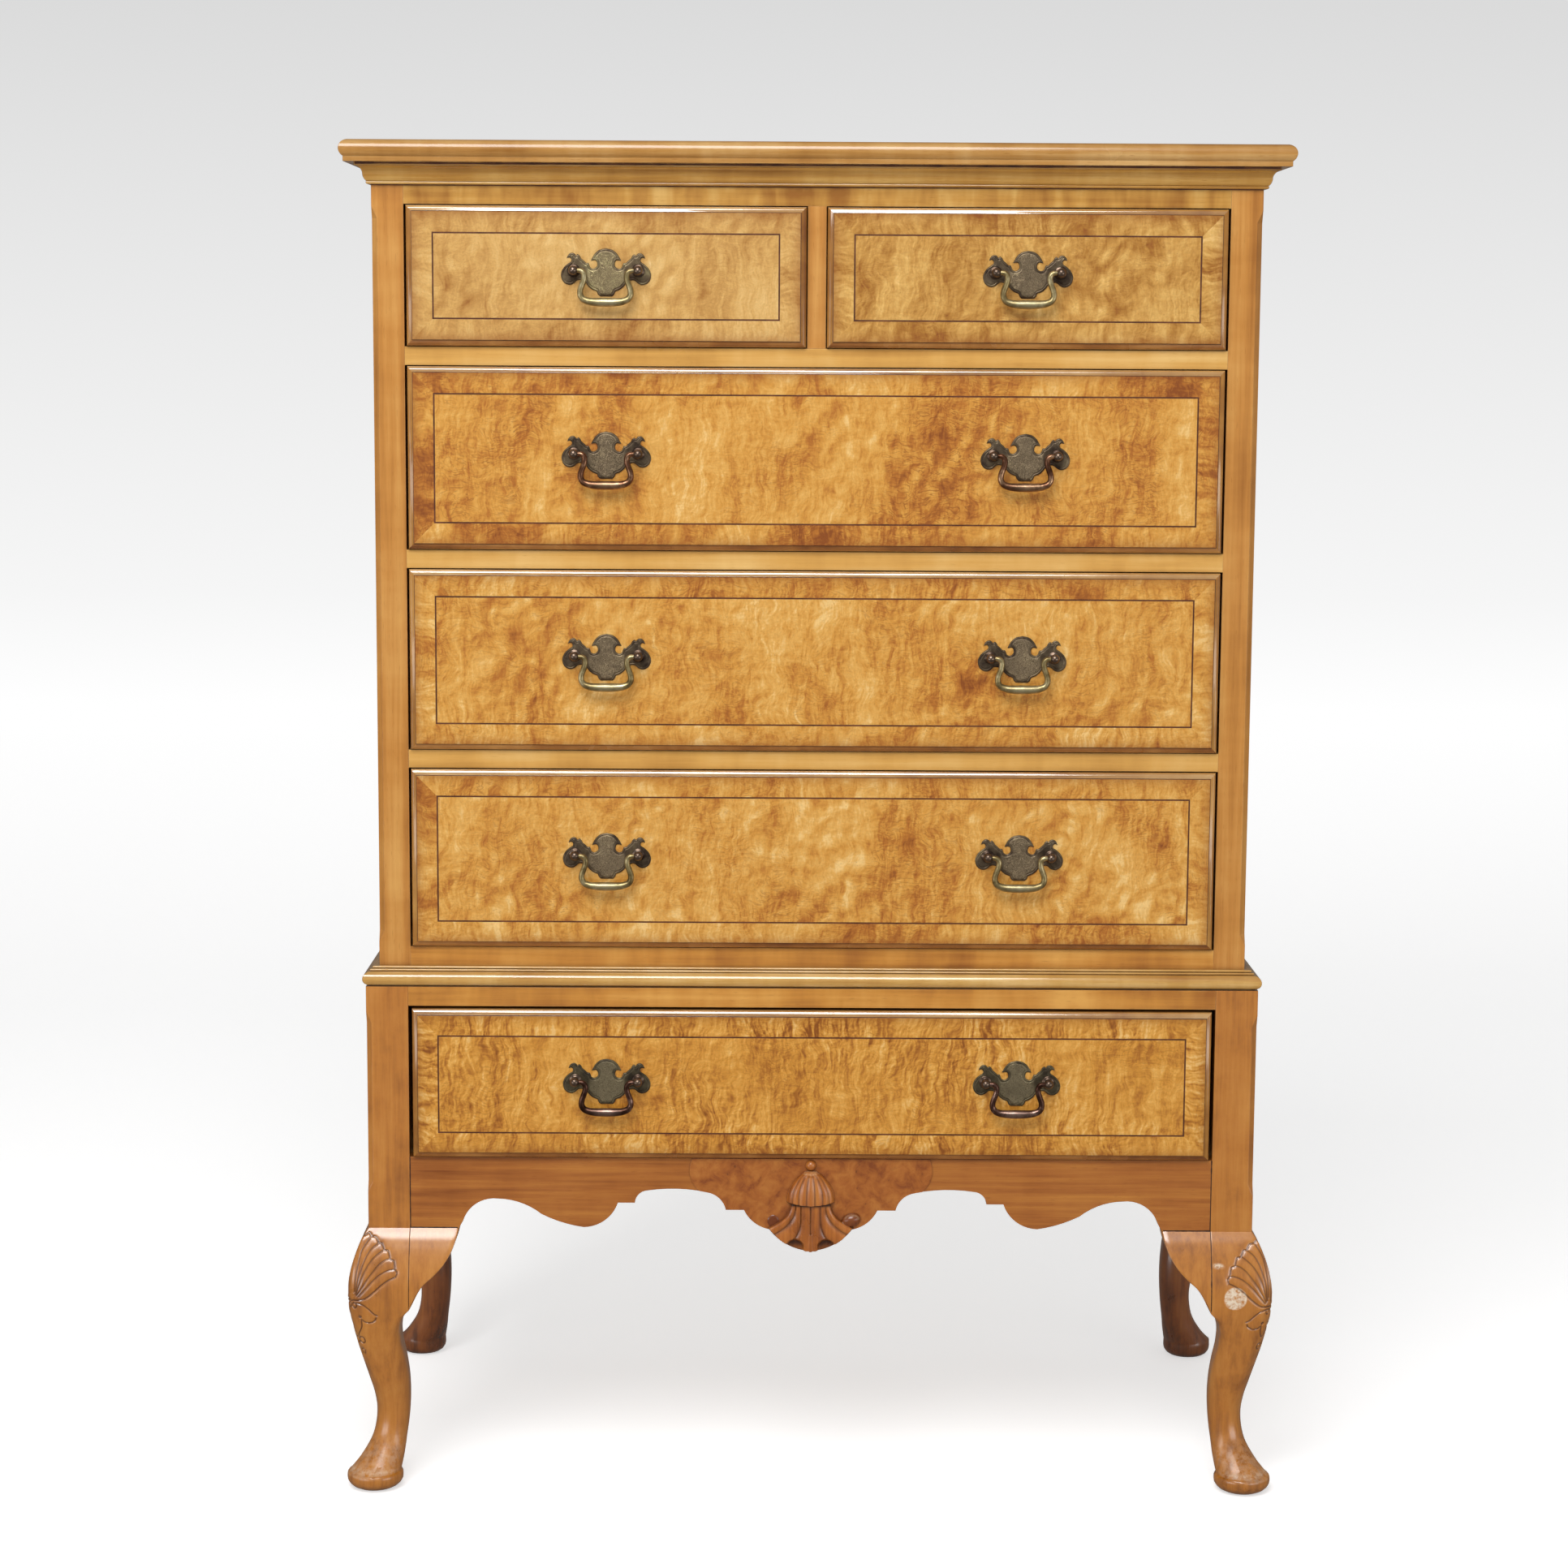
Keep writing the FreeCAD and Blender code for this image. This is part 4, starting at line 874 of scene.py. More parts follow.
def smooth_run(points: Sequence[Point2], steps: int = 4) -> list[Point2]:
    """Run a smooth line through points, ending on the last.

    Args:
        points: The points.
        steps: Pieces between each pair of points.

    Returns:
        Points along the line, without the first.
    """
    if len(points) == 2:
        return [points[1]]
    whole: list[Point2] = []
    ends = [tuple(2 * a - b for a, b in zip(points[0], points[1])), *points,
            tuple(2 * a - b for a, b in zip(points[-1], points[-2]))]
    for at in range(1, len(ends) - 2):
        p0, p1, p2, p3 = (np.array(ends[at + k]) for k in (-1, 0, 1, 2))
        for t in (step / steps for step in range(1, steps + 1)):
            spot = 0.5 * (2 * p1 + (p2 - p0) * t + (2 * p0 - 5 * p1 + 4 * p2 - p3) * t**2
                          + (3 * p1 - p0 - 3 * p2 + p3) * t**3)
            whole.append((float(spot[0]), float(spot[1])))
    return whole


def distance_to_line(at: np.ndarray, line: np.ndarray) -> np.ndarray:
    """Distance from points to a line of straight runs.

    Args:
        at: Points, one a row.
        line: Corners of the line, one a row.

    Returns:
        The shortest distance for each point.
    """
    best = np.full(len(at), 1e9)
    for first, last in zip(line[:-1], line[1:]):
        run = last - first
        length = float(run @ run) or 1e-12
        share = np.clip((at - first) @ run / length, 0.0, 1.0)
        best = np.minimum(best, np.linalg.norm(at - first - share[:, None] * run, axis=1))
    return best


# ---- the case
@dataclass
class Case:
    """Every board of the case that keeps its CAD shape."""

    boards: dict[Finish, tuple[str, ...]] = field(default_factory=lambda: {
        TOP_BOARD: ("top_board",), MOULDING: ("cornice_front",), MOULDING_RETURN: ("cornice_returns",),
        STILE: ("chest_stile_left", "chest_stile_right", "top_drawer_divider"),
        SIDE_BOARD: ("chest_side_left", "chest_side_right"),
        TOP_RAIL: ("chest_top_rail",), RAIL: ("drawer_rails",),
        FOOT_RAIL: ("chest_bottom_rail", "stand_top_rail"),
        WAIST: ("waist_moulding_front",), WAIST_RETURN: ("waist_moulding_returns",),
        APRON: ("apron",), BURL: ("apron_burl_panel",),
        APRON_SIDE: ("stand_side_left", "stand_side_right"),
        BACK_PINE: ("stand_back_board", "chest_back_boards"),
        INSIDE_ACROSS: ("chest_bottom_board", "drawer_stops"),
        INSIDE_DEEP: ("chest_runners", "chest_guides", "stand_runners"),
    })

    def dress(self, nodes: dict[str, bpy.types.Object]) -> None:
        """Give each board its finish.

        Args:
            nodes: The CAD nodes by name.
        """
        for finish, names in self.boards.items():
            for name in names:
                paint_node(nodes[name], finish)


def paint_node(node: bpy.types.Object, finish: Finish) -> None:
    """Put one finish on every slot of a CAD node.

    Args:
        node: The node.
        finish: Its finish.
    """
    for slot in node.material_slots:
        slot.link = "OBJECT"
        slot.material = material_of(finish)


def box_in_mm(node: str) -> tuple[Vector, Vector]:
    """Lowest and highest corner of a CAD node, in millimetres."""
    low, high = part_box(node)
    return Vector(low) / MM, Vector(high) / MM


# ---- drawers
class Cover(IntEnum):
    """What covers a part of a drawer's front. The number is the finish's place on its mesh."""

    TOP_EDGE = 0
    SIDE_EDGE = 1
    QUIRK = 2
    LEVEL_BAND = 3
    UPRIGHT_BAND = 4
    STRING = 5
    FIELD = 6
    LOW_EDGE = 7


# The covers of a ring's four sides: lower, right, upper and left.
EDGE_RING = (Cover.LOW_EDGE, Cover.SIDE_EDGE, Cover.TOP_EDGE, Cover.SIDE_EDGE)
QUIRK_RING = (Cover.QUIRK,) * 4
BAND_RING = (Cover.LEVEL_BAND, Cover.UPRIGHT_BAND) * 2
STRING_RING = (Cover.STRING,) * 4


@dataclass
class DrawerFront:
    """A drawer's front: quilted field, string, mitred crossband, quirk and ovolo edge."""

    node: str
    body: str
    veneer: QuiltedVeneer
    edge_inset: float = 6.0
    quirk_depth: float = 1.55
    band: float = 26.3
    string: float = 1.5
    # The thumbnail edge: a quick round at the arris, then a slow slope up to the quirk.
    thumbnail: tuple[Point2, ...] = (
        (0.0, 7.2), (0.10, 6.2), (0.28, 5.2), (0.55, 4.4), (0.95, 3.8), (1.6, 3.36), (2.4, 2.90),
        (3.2, 2.50), (4.0, 2.15), (4.8, 1.85), (5.4, 1.65))

    def rings(self, deep: float) -> list[tuple[float, float, tuple[Cover, ...]]]:
        """List the rings from the back to the field.

        Args:
            deep: Thickness of the front.

        Returns:
            Inset, depth behind the field, and what covers the way to the next ring.
        """
        edge, band, inner = self.edge_inset, self.band, self.band + self.string
        return [
            (0.0, deep, EDGE_RING), *((inset, behind, EDGE_RING) for inset, behind in self.thumbnail),
            (edge - 0.5, self.quirk_depth, QUIRK_RING), (edge, self.quirk_depth, QUIRK_RING),
            (edge + 0.05, 0.25, BAND_RING), (edge + 0.35, 0.0, BAND_RING), (band - 0.05, 0.0, STRING_RING),
            (band, 0.04, STRING_RING), (inner, 0.04, STRING_RING), (inner + 0.05, 0.0, ())]

    def crossband(self, way: str, shift: float, upright: bool) -> QuiltedVeneer:
        """Cut the crossband from the field's veneer.

        Args:
            way: The way that it runs, for its name.
            shift: How far from the field it is cut.
            upright: Whether its figure stands upright.

        Returns:
            The crossband's finish.
        """
        cut = self.veneer
        return replace(cut, name=f"{self.body} {way} crossband", seed=cut.seed + shift, upright=upright,
                       tone=cut.tone + cut.band, mottle=cut.mottle * 1.25, quilt=cut.quilt * 0.8,
                       curl=cut.curl * 1.25)

    def build(self) -> bpy.types.Object:
        """Build the front over its CAD node.

        Returns:
            The new piece.
        """
        low, high = box_in_mm(self.node)
        skin = Skin()
        rings = self.rings(high.y - low.y)
        for inset, behind, _ in rings:
            left, right, foot, head = low.x + inset, high.x - inset, low.z + inset, high.z - inset
            skin.points += [(x, low.y + behind, z)
                            for x, z in ((left, foot), (right, foot), (right, head), (left, head))]
            # Points at the moulded edge carry 1 and the field's ring 0, so the crossband darkens toward the
            # edge.
            skin.paint.setdefault("dirt", []).extend([float(inset < self.edge_inset + 1)] * 4)
        for at, (_, _, covers) in enumerate(rings[:-1]):
            for side in range(4):
                here, after = 4 * at + side, 4 * at + (side + 1) % 4
                skin.face((here, after, after + 4, here + 4), covers[side])
        field_ring = 4 * (len(rings) - 1)
        skin.face(range(field_ring, field_ring + 4), Cover.FIELD)
        skin.face((3, 2, 1, 0), Cover.TOP_EDGE)
        # The edge's top takes its painted lit copy, its uprights and bottom its painted shade copies.
        finishes = [EDGE_PAINTED_LIT, EDGE_UP_PAINTED_SHADE, QUIRK, self.crossband("level", 3.1, True),
                    self.crossband("upright", 5.7, False), STRING, self.veneer, EDGE_LOW_PAINTED_SHADE]
        piece = skin.piece(f"{self.body}_veneered_front", self.body, finishes, "figured_maple_veneer")
        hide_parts(self.node)
        return piece


# ---- brass
@dataclass
class Handle:
    """One handle: chased plate, two ball posts with their nuts, and a bail that swings."""

    name: str
    body: str
    bail_node: str
    centre: Point3
    tone: BrassTone
    bore: float = 64.0
    thick: float = 1.5
    ball_radius: float = 4.7
    ball_out: float = 11.0
    front_thick: float = 24.0
    nut_size: Point2 = (9.0, 3.2)
    shank_size: Point2 = (3.8, 2.5)
    bar_sides: int = 20
    post_sides: int = 28
    mesh_pitch: Point2 = (1.0, 0.87)
    chased_half: float = 19.0
    # Left half of the plate from the middle of its head to the middle of its foot. Each run is
    # smooth and meets the next in a point.
    plate_runs: tuple[tuple[Point2, ...], ...] = (
        ((0.0, 21.8), (-6.3, 20.3), (-10.9, 16.4), (-14.0, 11.0), (-14.6, 9.7)),
        ((-14.6, 9.7), (-9.9, 10.0), (-8.4, 6.4), (-9.3, 3.6), (-12.2, 2.0), (-14.8, 3.0), (-15.8, 5.2),
        (-16.9, 7.6)), ((-16.9, 7.6), (-19.0, 7.6), (-21.4, 9.9), (-23.8, 12.0), (-25.2, 14.6),
        (-27.2, 16.2)), ((-27.2, 16.2), (-28.6, 14.9), (-30.8, 17.0), (-33.8, 17.2), (-36.4, 15.0),
        (-37.6, 12.0)), ((-37.6, 12.0), (-34.9, 12.8), (-33.2, 11.0), (-33.7, 8.6), (-36.6, 6.6),
        (-40.3, 3.2), (-42.6, -0.8), (-43.3, -5.0), (-41.8, -10.0), (-38.6, -13.0), (-34.6, -13.9),
        (-31.0, -12.6), (-28.6, -10.4), (-26.0, -9.4), (-23.0, -9.9)),
        ((-23.0, -9.9), (-19.6, -12.0), (-17.0, -15.4), (-13.4, -18.4), (-8.9, -20.2)),
        ((-8.9, -20.2), (-7.9, -23.0), (-5.8, -25.0)), ((-5.8, -25.0), (0.0, -25.0)),)
    plate_stretch: Point2 = (1.03, 1.0)
    # The plate's section: distance from its rim and height off the drawer, with a groove inside.
    rim_section: Knots = (
        (0.0, 0.7), (0.45, 1.2), (0.95, 1.5), (1.7, 1.5), (2.1, 1.22), (2.5, 1.5), (3.2, 1.5))
    # Right half of the bail from its pin to the middle of the grip: across, up and radius.
    bail_line: tuple[Point3, ...] = (
        (33.0, 0.0, 1.7), (29.6, 0.0, 1.8), (27.0, 0.0, 2.2), (23.8, -0.6, 2.6), (21.6, -2.6, 2.75),
        (20.9, -5.4, 2.8), (21.5, -9.6, 2.9), (23.2, -14.4, 2.95), (24.8, -19.2, 3.0),
        (24.8, -23.8, 3.1), (22.6, -27.6, 3.25), (17.6, -29.9, 3.6), (10.0, -30.9, 4.1),
        (0.0, -31.1, 4.4))
    post_profile: tuple[Point2, ...] = (
        (6.4, 0.2), (6.5, 0.9), (6.1, 1.4), (5.2, 1.7), (4.4, 1.9), (3.4, 2.6), (3.0, 3.6), (2.9, 4.8),
        (3.1, 5.8), (3.5, 6.4))

    def outline(self) -> np.ndarray:
        """Work out the plate's whole outline, anticlockwise from its head.

        Returns:
            Points across and up.
        """
        half: list[Point2] = [self.plate_runs[0][0]]
        for run in self.plate_runs:
            half += smooth_run(run)
        right = [(-x, z) for x, z in reversed(half[1:-1])]
        return np.array(half + right) * self.plate_stretch

    def plate(self) -> tuple[np.ndarray, list[tuple[int, ...]], np.ndarray, int]:
        """Work out the plate's front skin.

        Returns:
            Points across and up with their height off the drawer, triangles, the share of chasing
            at each point, and how many of the points lie on the outline.
        """
        edge = self.outline()
        closed = np.vstack([edge, edge[:1]])
        along = np.roll(edge, -1, axis=0) - np.roll(edge, 1, axis=0)
        along /= np.linalg.norm(along, axis=1)[:, None]
        inward = np.stack([-along[:, 1], along[:, 0]], axis=1)
        inner: list[np.ndarray] = []
        for inset, _ in self.rim_section[1:-1]:
            ring = edge + inward * inset
            inner.append(ring[distance_to_line(ring, closed) > inset * 0.97])
        pitch_x, pitch_z = self.mesh_pitch
        xs, zs = np.meshgrid(np.arange(-45, 45.1, pitch_x), np.arange(-25, 22.1, pitch_z))
        xs[::2] += pitch_x / 2
        middle = np.stack([xs.ravel(), zs.ravel()], axis=1)
        middle = middle[[inside_of(p, edge) for p in middle]]
        inner.append(middle[distance_to_line(middle, closed) > 3.1])
        points = np.vstack([edge, *inner])
        pairs = [(k, (k + 1) % len(edge)) for k in range(len(edge))]
        found = geometry.delaunay_2d_cdt([Vector(p) for p in points], pairs, [], 1, 1e-5)
        flat = np.array([tuple(p) for p in found[0]])
        gap = distance_to_line(flat, closed)
        height = np.interp(gap, *zip(*self.rim_section))
        centre_share = np.clip((self.chased_half - np.abs(flat[:, 0])) / 4.0, 0.0, 1.0)
        chasing = np.clip((gap - 2.4) / 0.8, 0.0, 1.0) * centre_share
        swirl = np.array([noise.noise(Vector((x * 0.42, z * 0.42, 3.0))) for x, z in flat])
        height = height + 0.16 * chasing * np.abs(swirl)
        return np.column_stack([flat, height]), [tuple(f) for f in found[2]], chasing, len(edge)

    def turned(self, skin: Skin, x: float, z: float) -> None:
        """Add one ball post, turned about the line that runs out of the drawer.

        Args:
            skin: The mesh to add to.
            x: Where it stands, across.
            z: And up.
        """
        ball, sides = self.ball_radius, self.post_sides
        profile = list(self.post_profile)
        for step in range(1, 15):
            turn = math.radians(-128 + step * 218 / 14)
            profile.append((max(ball * math.cos(turn), 0.02), self.ball_out + ball * math.sin(turn)))
        rows = [[(x + radius * math.cos(a), self.centre[1] - self.thick - out, z + radius * math.sin(a))
                 for a in (2 * math.pi * k / sides for k in range(sides))] for radius, out in profile]
        # The front of each ball is painted bright: rubbed there, and a painted highlight.
        rubbed = [[0.5 if out > self.ball_out + 0.6 * ball else 0.0] * sides for _, out in profile]
        skin.grid(rows, wrap=True, finish=1, paint={"rubbed": rubbed})

    def nut(self, skin: Skin, x: float, z: float) -> None:
        """Add the shank's end and its square nut behind the front.

        Args:
            skin: The mesh to add to.
            x: Where it stands, across.
            z: And up.
        """
        near = self.centre[1] + self.front_thick
        for wide, deep in (self.nut_size, self.shank_size):
            half, far = wide / 2, near + deep
            soft = min(0.5, half * 0.3)
            rows = [[(x + h, at, z - h), (x + h, at, z + h), (x - h, at, z + h), (x - h, at, z - h)]
                    for h, at in ((half - soft, near), (half, near), (half, far - soft), (half - soft, far))]
            last = skin.grid(rows, wrap=True, finish=1, flip=True) + 12
            skin.face(range(last, last + 4), 1, flip=True)
            near = far

    def build_mount(self) -> bpy.types.Object:
        """Build the plate, posts and nuts.

        Returns:
            The new piece.
        """
        cx, cy, cz = self.centre
        flat, triangles, chasing, rim = self.plate()
        skin = Skin()
        skin.points = [(cx + x, cy - h, cz + z) for x, z, h in flat]
        skin.paint = {"chasing": chasing.tolist(), "rubbed": (0.55 * chasing).tolist()}
        for triangle in triangles:
            skin.face(triangle, flip=not facing(flat, triangle))
        start = len(skin.points)
        skin.points += [(cx + x, cy, cz + z) for x, z, _ in flat[:rim]]
        for k in range(rim):
            after = (k + 1) % rim
            skin.face((k, start + k, start + after, after))
        for side in (-1, 1):
            self.turned(skin, cx + side * self.bore / 2, cz)
            self.nut(skin, cx + side * self.bore / 2, cz)
        return skin.piece(self.name, self.body, [self.tone.plate, self.tone.ball], "aged_brass", 40.0)

    def build_bail(self) -> bpy.types.Object:
        """Build the bail as one round bar, thicker in the grip.

        Returns:
            The new piece.
        """
        cx, cy, cz = self.centre
        y = cy - self.thick - self.ball_out
        half = smooth_path(self.bail_line, 5)
        whole = [(-x, z, r) for x, z, r in half[:-1]] + list(reversed(half))
        skin = Skin()
        rows = []
        rubbed = []
        for at, (x, z, radius) in enumerate(whole):
            before, after = whole[max(at - 1, 0)], whole[min(at + 1, len(whole) - 1)]
            along = Vector((after[0] - before[0], 0, after[1] - before[1])).normalized()
            across = Vector((along.z, 0, -along.x))
            # The front half of the grip is painted bright: rubbed by hands, and a painted highlight.
            grip = max(0.0, 1 - abs(x) / 17.0) if z < -20 else 0.0
            rows.append([])
            rubbed.append([])
            for turn in (2 * math.pi * k / self.bar_sides for k in range(self.bar_sides)):
                off = across * (radius * math.cos(turn)) + Vector((0, -radius * math.sin(turn), 0))
                rows[-1].append((cx + x + off.x, y + off.y, cz + z + off.z))
                rubbed[-1].append(0.65 * max(math.sin(turn), 0.0) * grip)
        skin.tube(rows, flip=True, paint={"rubbed": rubbed})
        piece = skin.piece(f"{self.bail_node}_bar", self.bail_node + "_swing", [self.tone.bail], "aged_brass")
        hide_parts(self.bail_node)
        return piece


def inside_of(spot: Iterable[float], outline: np.ndarray) -> bool:
    """Whether a point lies inside a closed outline.

    Args:
        spot: The point.
        outline: The outline, one corner a row.

    Returns:
        True where it lies inside.
    """
    x, z = spot
    a, b = outline, np.roll(outline, -1, axis=0)
    crosses = (a[:, 1] > z) != (b[:, 1] > z)
    with np.errstate(divide="ignore", invalid="ignore"):
        meet = (b[:, 0] - a[:, 0]) * (z - a[:, 1]) / (b[:, 1] - a[:, 1]) + a[:, 0]
    return bool(np.count_nonzero(crosses & (x < meet)) % 2)


def facing(flat: np.ndarray, face: Sequence[int]) -> bool:
    """Whether a triangle turns so that it faces out of the drawer."""
    a, b, c = (flat[k][:2] for k in face)
    return (b[0] - a[0]) * (c[1] - a[1]) - (b[1] - a[1]) * (c[0] - a[0]) > 0


def smooth_path(points: Sequence[Point3], steps: int) -> list[Point3]:
    """Run a smooth line through points that carry a radius.

    Args:
        points: Across, up and radius.
        steps: Pieces between each pair.

    Returns:
        The denser line.
    """
    lengths = [0.0]
    for a, b in zip(points, points[1:]):
        lengths.append(lengths[-1] + math.hypot(b[0] - a[0], b[1] - a[1]))
    at = np.linspace(0.0, lengths[-1], steps * (len(points) - 1) + 1)
    smooth = [smooth_reading(list(zip(lengths, values)))(at) for values in zip(*points)]
    return [tuple(float(v) for v in row) for row in zip(*smooth)]


# ---- legs
@dataclass(frozen=True)
class KneeShell:
    """The shell and the petal below it, carved alike on both faces of the knee.

    The chart is (distance round the leg from the outer corner, height). Each line is one stroke of
    the parting tool: the scalloped tips, the ribs between the lobes, the lower rim and the stem.
    Each round is (distance round, height, radius).
    """

    shift: Point2 = (0.0, 0.0)
    tips: tuple[tuple[Point2, ...], ...] = (
        ((-1.0, 268.9), (2.7, 270.9), (4.0, 272.4), (8.6, 269.3)), ((8.6, 269.3), (14.0, 268.0),
        (18.9, 263.2)), ((19.4, 262.8), (22.9, 262.0), (27.3, 256.7)),
        ((27.4, 256.2), (32.2, 254.9), (36.5, 247.8)), ((36.3, 247.4), (41.3, 245.1), (44.4, 237.5)),
        ((44.6, 237.0), (47.3, 233.8), (46.6, 229.6)),)
    ribs: tuple[tuple[Point2, ...], ...] = (
        ((8.6, 269.3), (6.8, 263.2), (4.9, 255.3), (5.4, 245.4), (5.7, 233.6), (6.0, 222.3), (5.5, 214.5)),
        ((19.4, 262.8), (14.2, 257.1), (11.5, 249.1), (10.3, 240.0), (9.1, 229.9), (8.0, 218.5),
        (6.8, 211.7)), ((27.4, 256.2), (24.2, 253.6), (19.4, 248.2), (15.8, 240.9), (13.4, 232.7),
        (11.1, 223.4), (8.5, 214.7), (7.5, 210.7)), ((36.3, 247.4), (32.3, 246.4), (26.9, 241.9),
        (23.0, 235.5), (18.5, 228.1), (14.7, 220.5), (10.4, 213.7), (8.0, 210.3)),
        ((44.6, 237.0), (39.0, 236.5), (32.8, 233.7), (26.9, 229.0), (21.2, 222.5), (16.6, 216.6),
        (11.3, 210.8), (9.4, 209.3)),)
    rims: tuple[tuple[Point2, ...], ...] = (
        ((46.6, 229.6), (39.7, 226.3), (32.8, 221.1), (26.1, 214.8), (20.4, 209.9), (14.6, 206.4),
        (8.7, 205.4), (2.2, 205.1), (-1.8, 202.2)), ((6.9, 202.2), (13.0, 200.4), (18.3, 196.4),
        (23.3, 190.8), (26.3, 188.8)), ((9.6, 184.5), (13.6, 181.4), (18.3, 180.9), (23.2, 183.5),
        (24.8, 186.1)), ((9.3, 183.4), (7.4, 175.9), (1.2, 167.5), (-1.8, 162.5)),)
    rounds: tuple[Point3, ...] = ((3.8, 199.8, 2.8), (8.8, 187.6, 1.0), (3.5, 161.0, 3.5), (0.3, 148.0, 2.6))

    def carve(self, across: np.ndarray, up: np.ndarray) -> tuple[np.ndarray, np.ndarray]:
        """Work out how deep each point is cut, and how dark.

        Args:
            across: Distance round from the corner.
            up: Height.

        Returns:
            Depth of the cut in mm, and darkness 0..1.
        """
        at = np.stack([np.abs(across) - self.shift[0], up - self.shift[1]], axis=1)
        core = np.zeros(len(at))
        flank = np.zeros(len(at))
        for strokes, strength in ((self.tips, 1.0), (self.ribs, 0.85), (self.rims, 1.0)):
            for stroke in strokes:
                gap = distance_to_line(at, np.array([stroke[0], *smooth_run(stroke)]))
                core = np.maximum(core, strength * np.exp(-(gap / 0.72) ** 2))
                flank = np.maximum(flank, strength * np.exp(-gap / 1.9))
        for x, z, radius in self.rounds:
            ring = np.abs(np.hypot(at[:, 0] - x, at[:, 1] - z) - radius)
            core = np.maximum(core, np.exp(-(ring / 0.65) ** 2))
            flank = np.maximum(flank, np.exp(-ring / 1.5))
        return 0.6 * core + 0.8 * flank, 0.85 * core


@dataclass
class Slice:
    """One level ring of a leg: its points and their paint."""

    row: list[Point3]
    cut: list[float]
    scuff: list[float]
    shade: list[float]


@dataclass
class CabrioleLeg:
    """One leg from the floor to the top of its post, smooth from its pad foot to its knee.

    Shapes are drawn from the post's middle, outward across and outward deep.
    """

    node: str
    sign_x: int
    sign_y: int
    shell: KneeShell | None = None
    post: float = 43.0
    knee_top: float = 276.7
    block_drop: float = 81.7
    pad_top: float = 18.0
    pad_off: float = 17.6
    chamfer: float = 5.5
    # The chamfer stops this far above the knee and below the top, and fades out over its run.
    chamfer_foot: float = 38.0
    chamfer_head: float = 26.0
    chamfer_run: float = 12.0
    # Rubbed round and chip on the right knee: distance round the corner, height, size.
    rubbed_round: Point3 = (36.6, 211.7, 12.5)
    chip: tuple[float, float, float, float] = (49.9, 244.4, 5.0, 2.5)
    front_pad: Knots = (
        (0.02, 0.0), (11.2, 0.0), (16.0, 0.15), (20.0, 1.3), (24.0, 3.3), (27.0, 6.2), (28.6, 9.2),
        (29.0, 11.8), (28.95, 14.2), (28.6, 16.0), (28.1, 17.1), (27.5, 17.8), (26.9, 18.15))
    rear_pad: Knots = ((0.02, 0.0), (11.0, 0.0), (17.0, 0.4), (21.0, 1.6), (24.0, 3.6), (25.9, 6.4),
                       (26.8, 9.4), (27.1, 12.4), (27.0, 15.4), (26.8, 18.15))
    knee_swell: Knots = ((0.00, 0.0), (0.08, 4.8), (0.20, 9.5), (0.33, 13.6), (0.50, 17.8), (0.67, 20.4),
                         (0.85, 21.1), (1.00, 20.4))
    shin_swell: Knots = (
        (0.000, 22.8), (0.045, 15.4), (0.097, 8.7), (0.182, 0.3), (0.266, -3.4), (0.350, -4.3),
        (0.453, -1.9), (0.548, 2.4), (0.667, 7.8), (0.785, 12.9), (0.883, 16.5), (0.938, 18.6),
        (0.977, 19.9), (1.000, 20.4))
    shin_setback: Knots = (
        (0.000, 12.4), (0.045, 10.8), (0.097, 9.2), (0.182, 7.4), (0.266, 5.4), (0.350, 4.0), (0.453, 3.4),
        (0.548, 4.1), (0.667, 6.8), (0.785, 10.6), (0.883, 10.9), (0.938, 8.0), (0.977, 3.8), (1.000, 0.0))
    outer_round: Knots = ((0.0, 1.0), (0.30, 1.0), (0.72, 0.45), (1.0, 0.04))
    inner_round: Knots = ((0.0, 1.0), (0.30, 1.0), (0.60, 0.50), (0.70, 0.04), (1.0, 0.04))

    @cached_property
    def top(self) -> float:
        """Height of the post's top, read from the CAD node."""
        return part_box(self.node)[1].z / MM

    def section(self, z: float, out: float, inward: float, outer: float,
                inner: float) -> tuple[list[Point2], list[float]]:
        """Work out one level slice of the leg.

        Args:
            z: Its height.
            out: How far the two outer faces stand from the post's middle.
            inward: How far the two inner faces stand from it.
            outer: Radius of the outer corner.
            inner: Radius of the other three.

        Returns:
            Points as (outward x, outward y), starting in the middle of the inner x face, and their
            distance round from the outer corner.
        """
        corner, beside, rest = (48, 84, 7) if self.shell else (16, 10, 6)
        line: list[Point2] = []

        def arc(cx: float, cy: float, radius: float, start: float, steps: int) -> None:
            """Add a quarter round, turning anticlockwise from start.

            Args:
                cx: Its middle, outward across.
                cy: And outward deep.
                radius: Its radius.
                start: Where it starts, in degrees.
                steps: Pieces along it.
            """
            for k in range(steps + 1):
                turn = math.radians(start + 90 * k / steps)
                line.append((cx + radius * math.cos(turn), cy + radius * math.sin(turn)))

        def straight(first: Point2, last: Point2, steps: int) -> None:
            """Add the points between two others."""
            for t in (k / steps for k in range(1, steps)):
                line.append((first[0] + (last[0] - first[0]) * t, first[1] + (last[1] - first[1]) * t))

        back = -inward + inner
        arc(out - inner, back, inner, -90, rest)
        straight((out, back), (out, out - outer), beside)
        if z > self.knee_top + 0.1 and self.shell:
            size = self.chamfer_at(z)
            line += [(out - size * t, out - size * (1 - t)) for t in (k / corner for k in range(corner + 1))]
        else:
            arc(out - outer, out - outer, outer, 0, corner)
        straight((out - outer, out), (back, out), beside)
        arc(back, out - inner, inner, 90, rest)
        straight((-inward, out - inner), (-inward, back), rest)
        arc(back, back, inner, 180, rest)
        straight((back, -inward), (out - inner, -inward), rest)
        ridge = rest + beside + corner // 2
        walk = [0.0] * len(line)
        for k in range(ridge + 1, len(line)):
            walk[k] = walk[k - 1] + math.dist(line[k], line[k - 1])
        for k in range(ridge - 1, -1, -1):
            walk[k] = walk[k + 1] - math.dist(line[k], line[k + 1])
        return line, walk

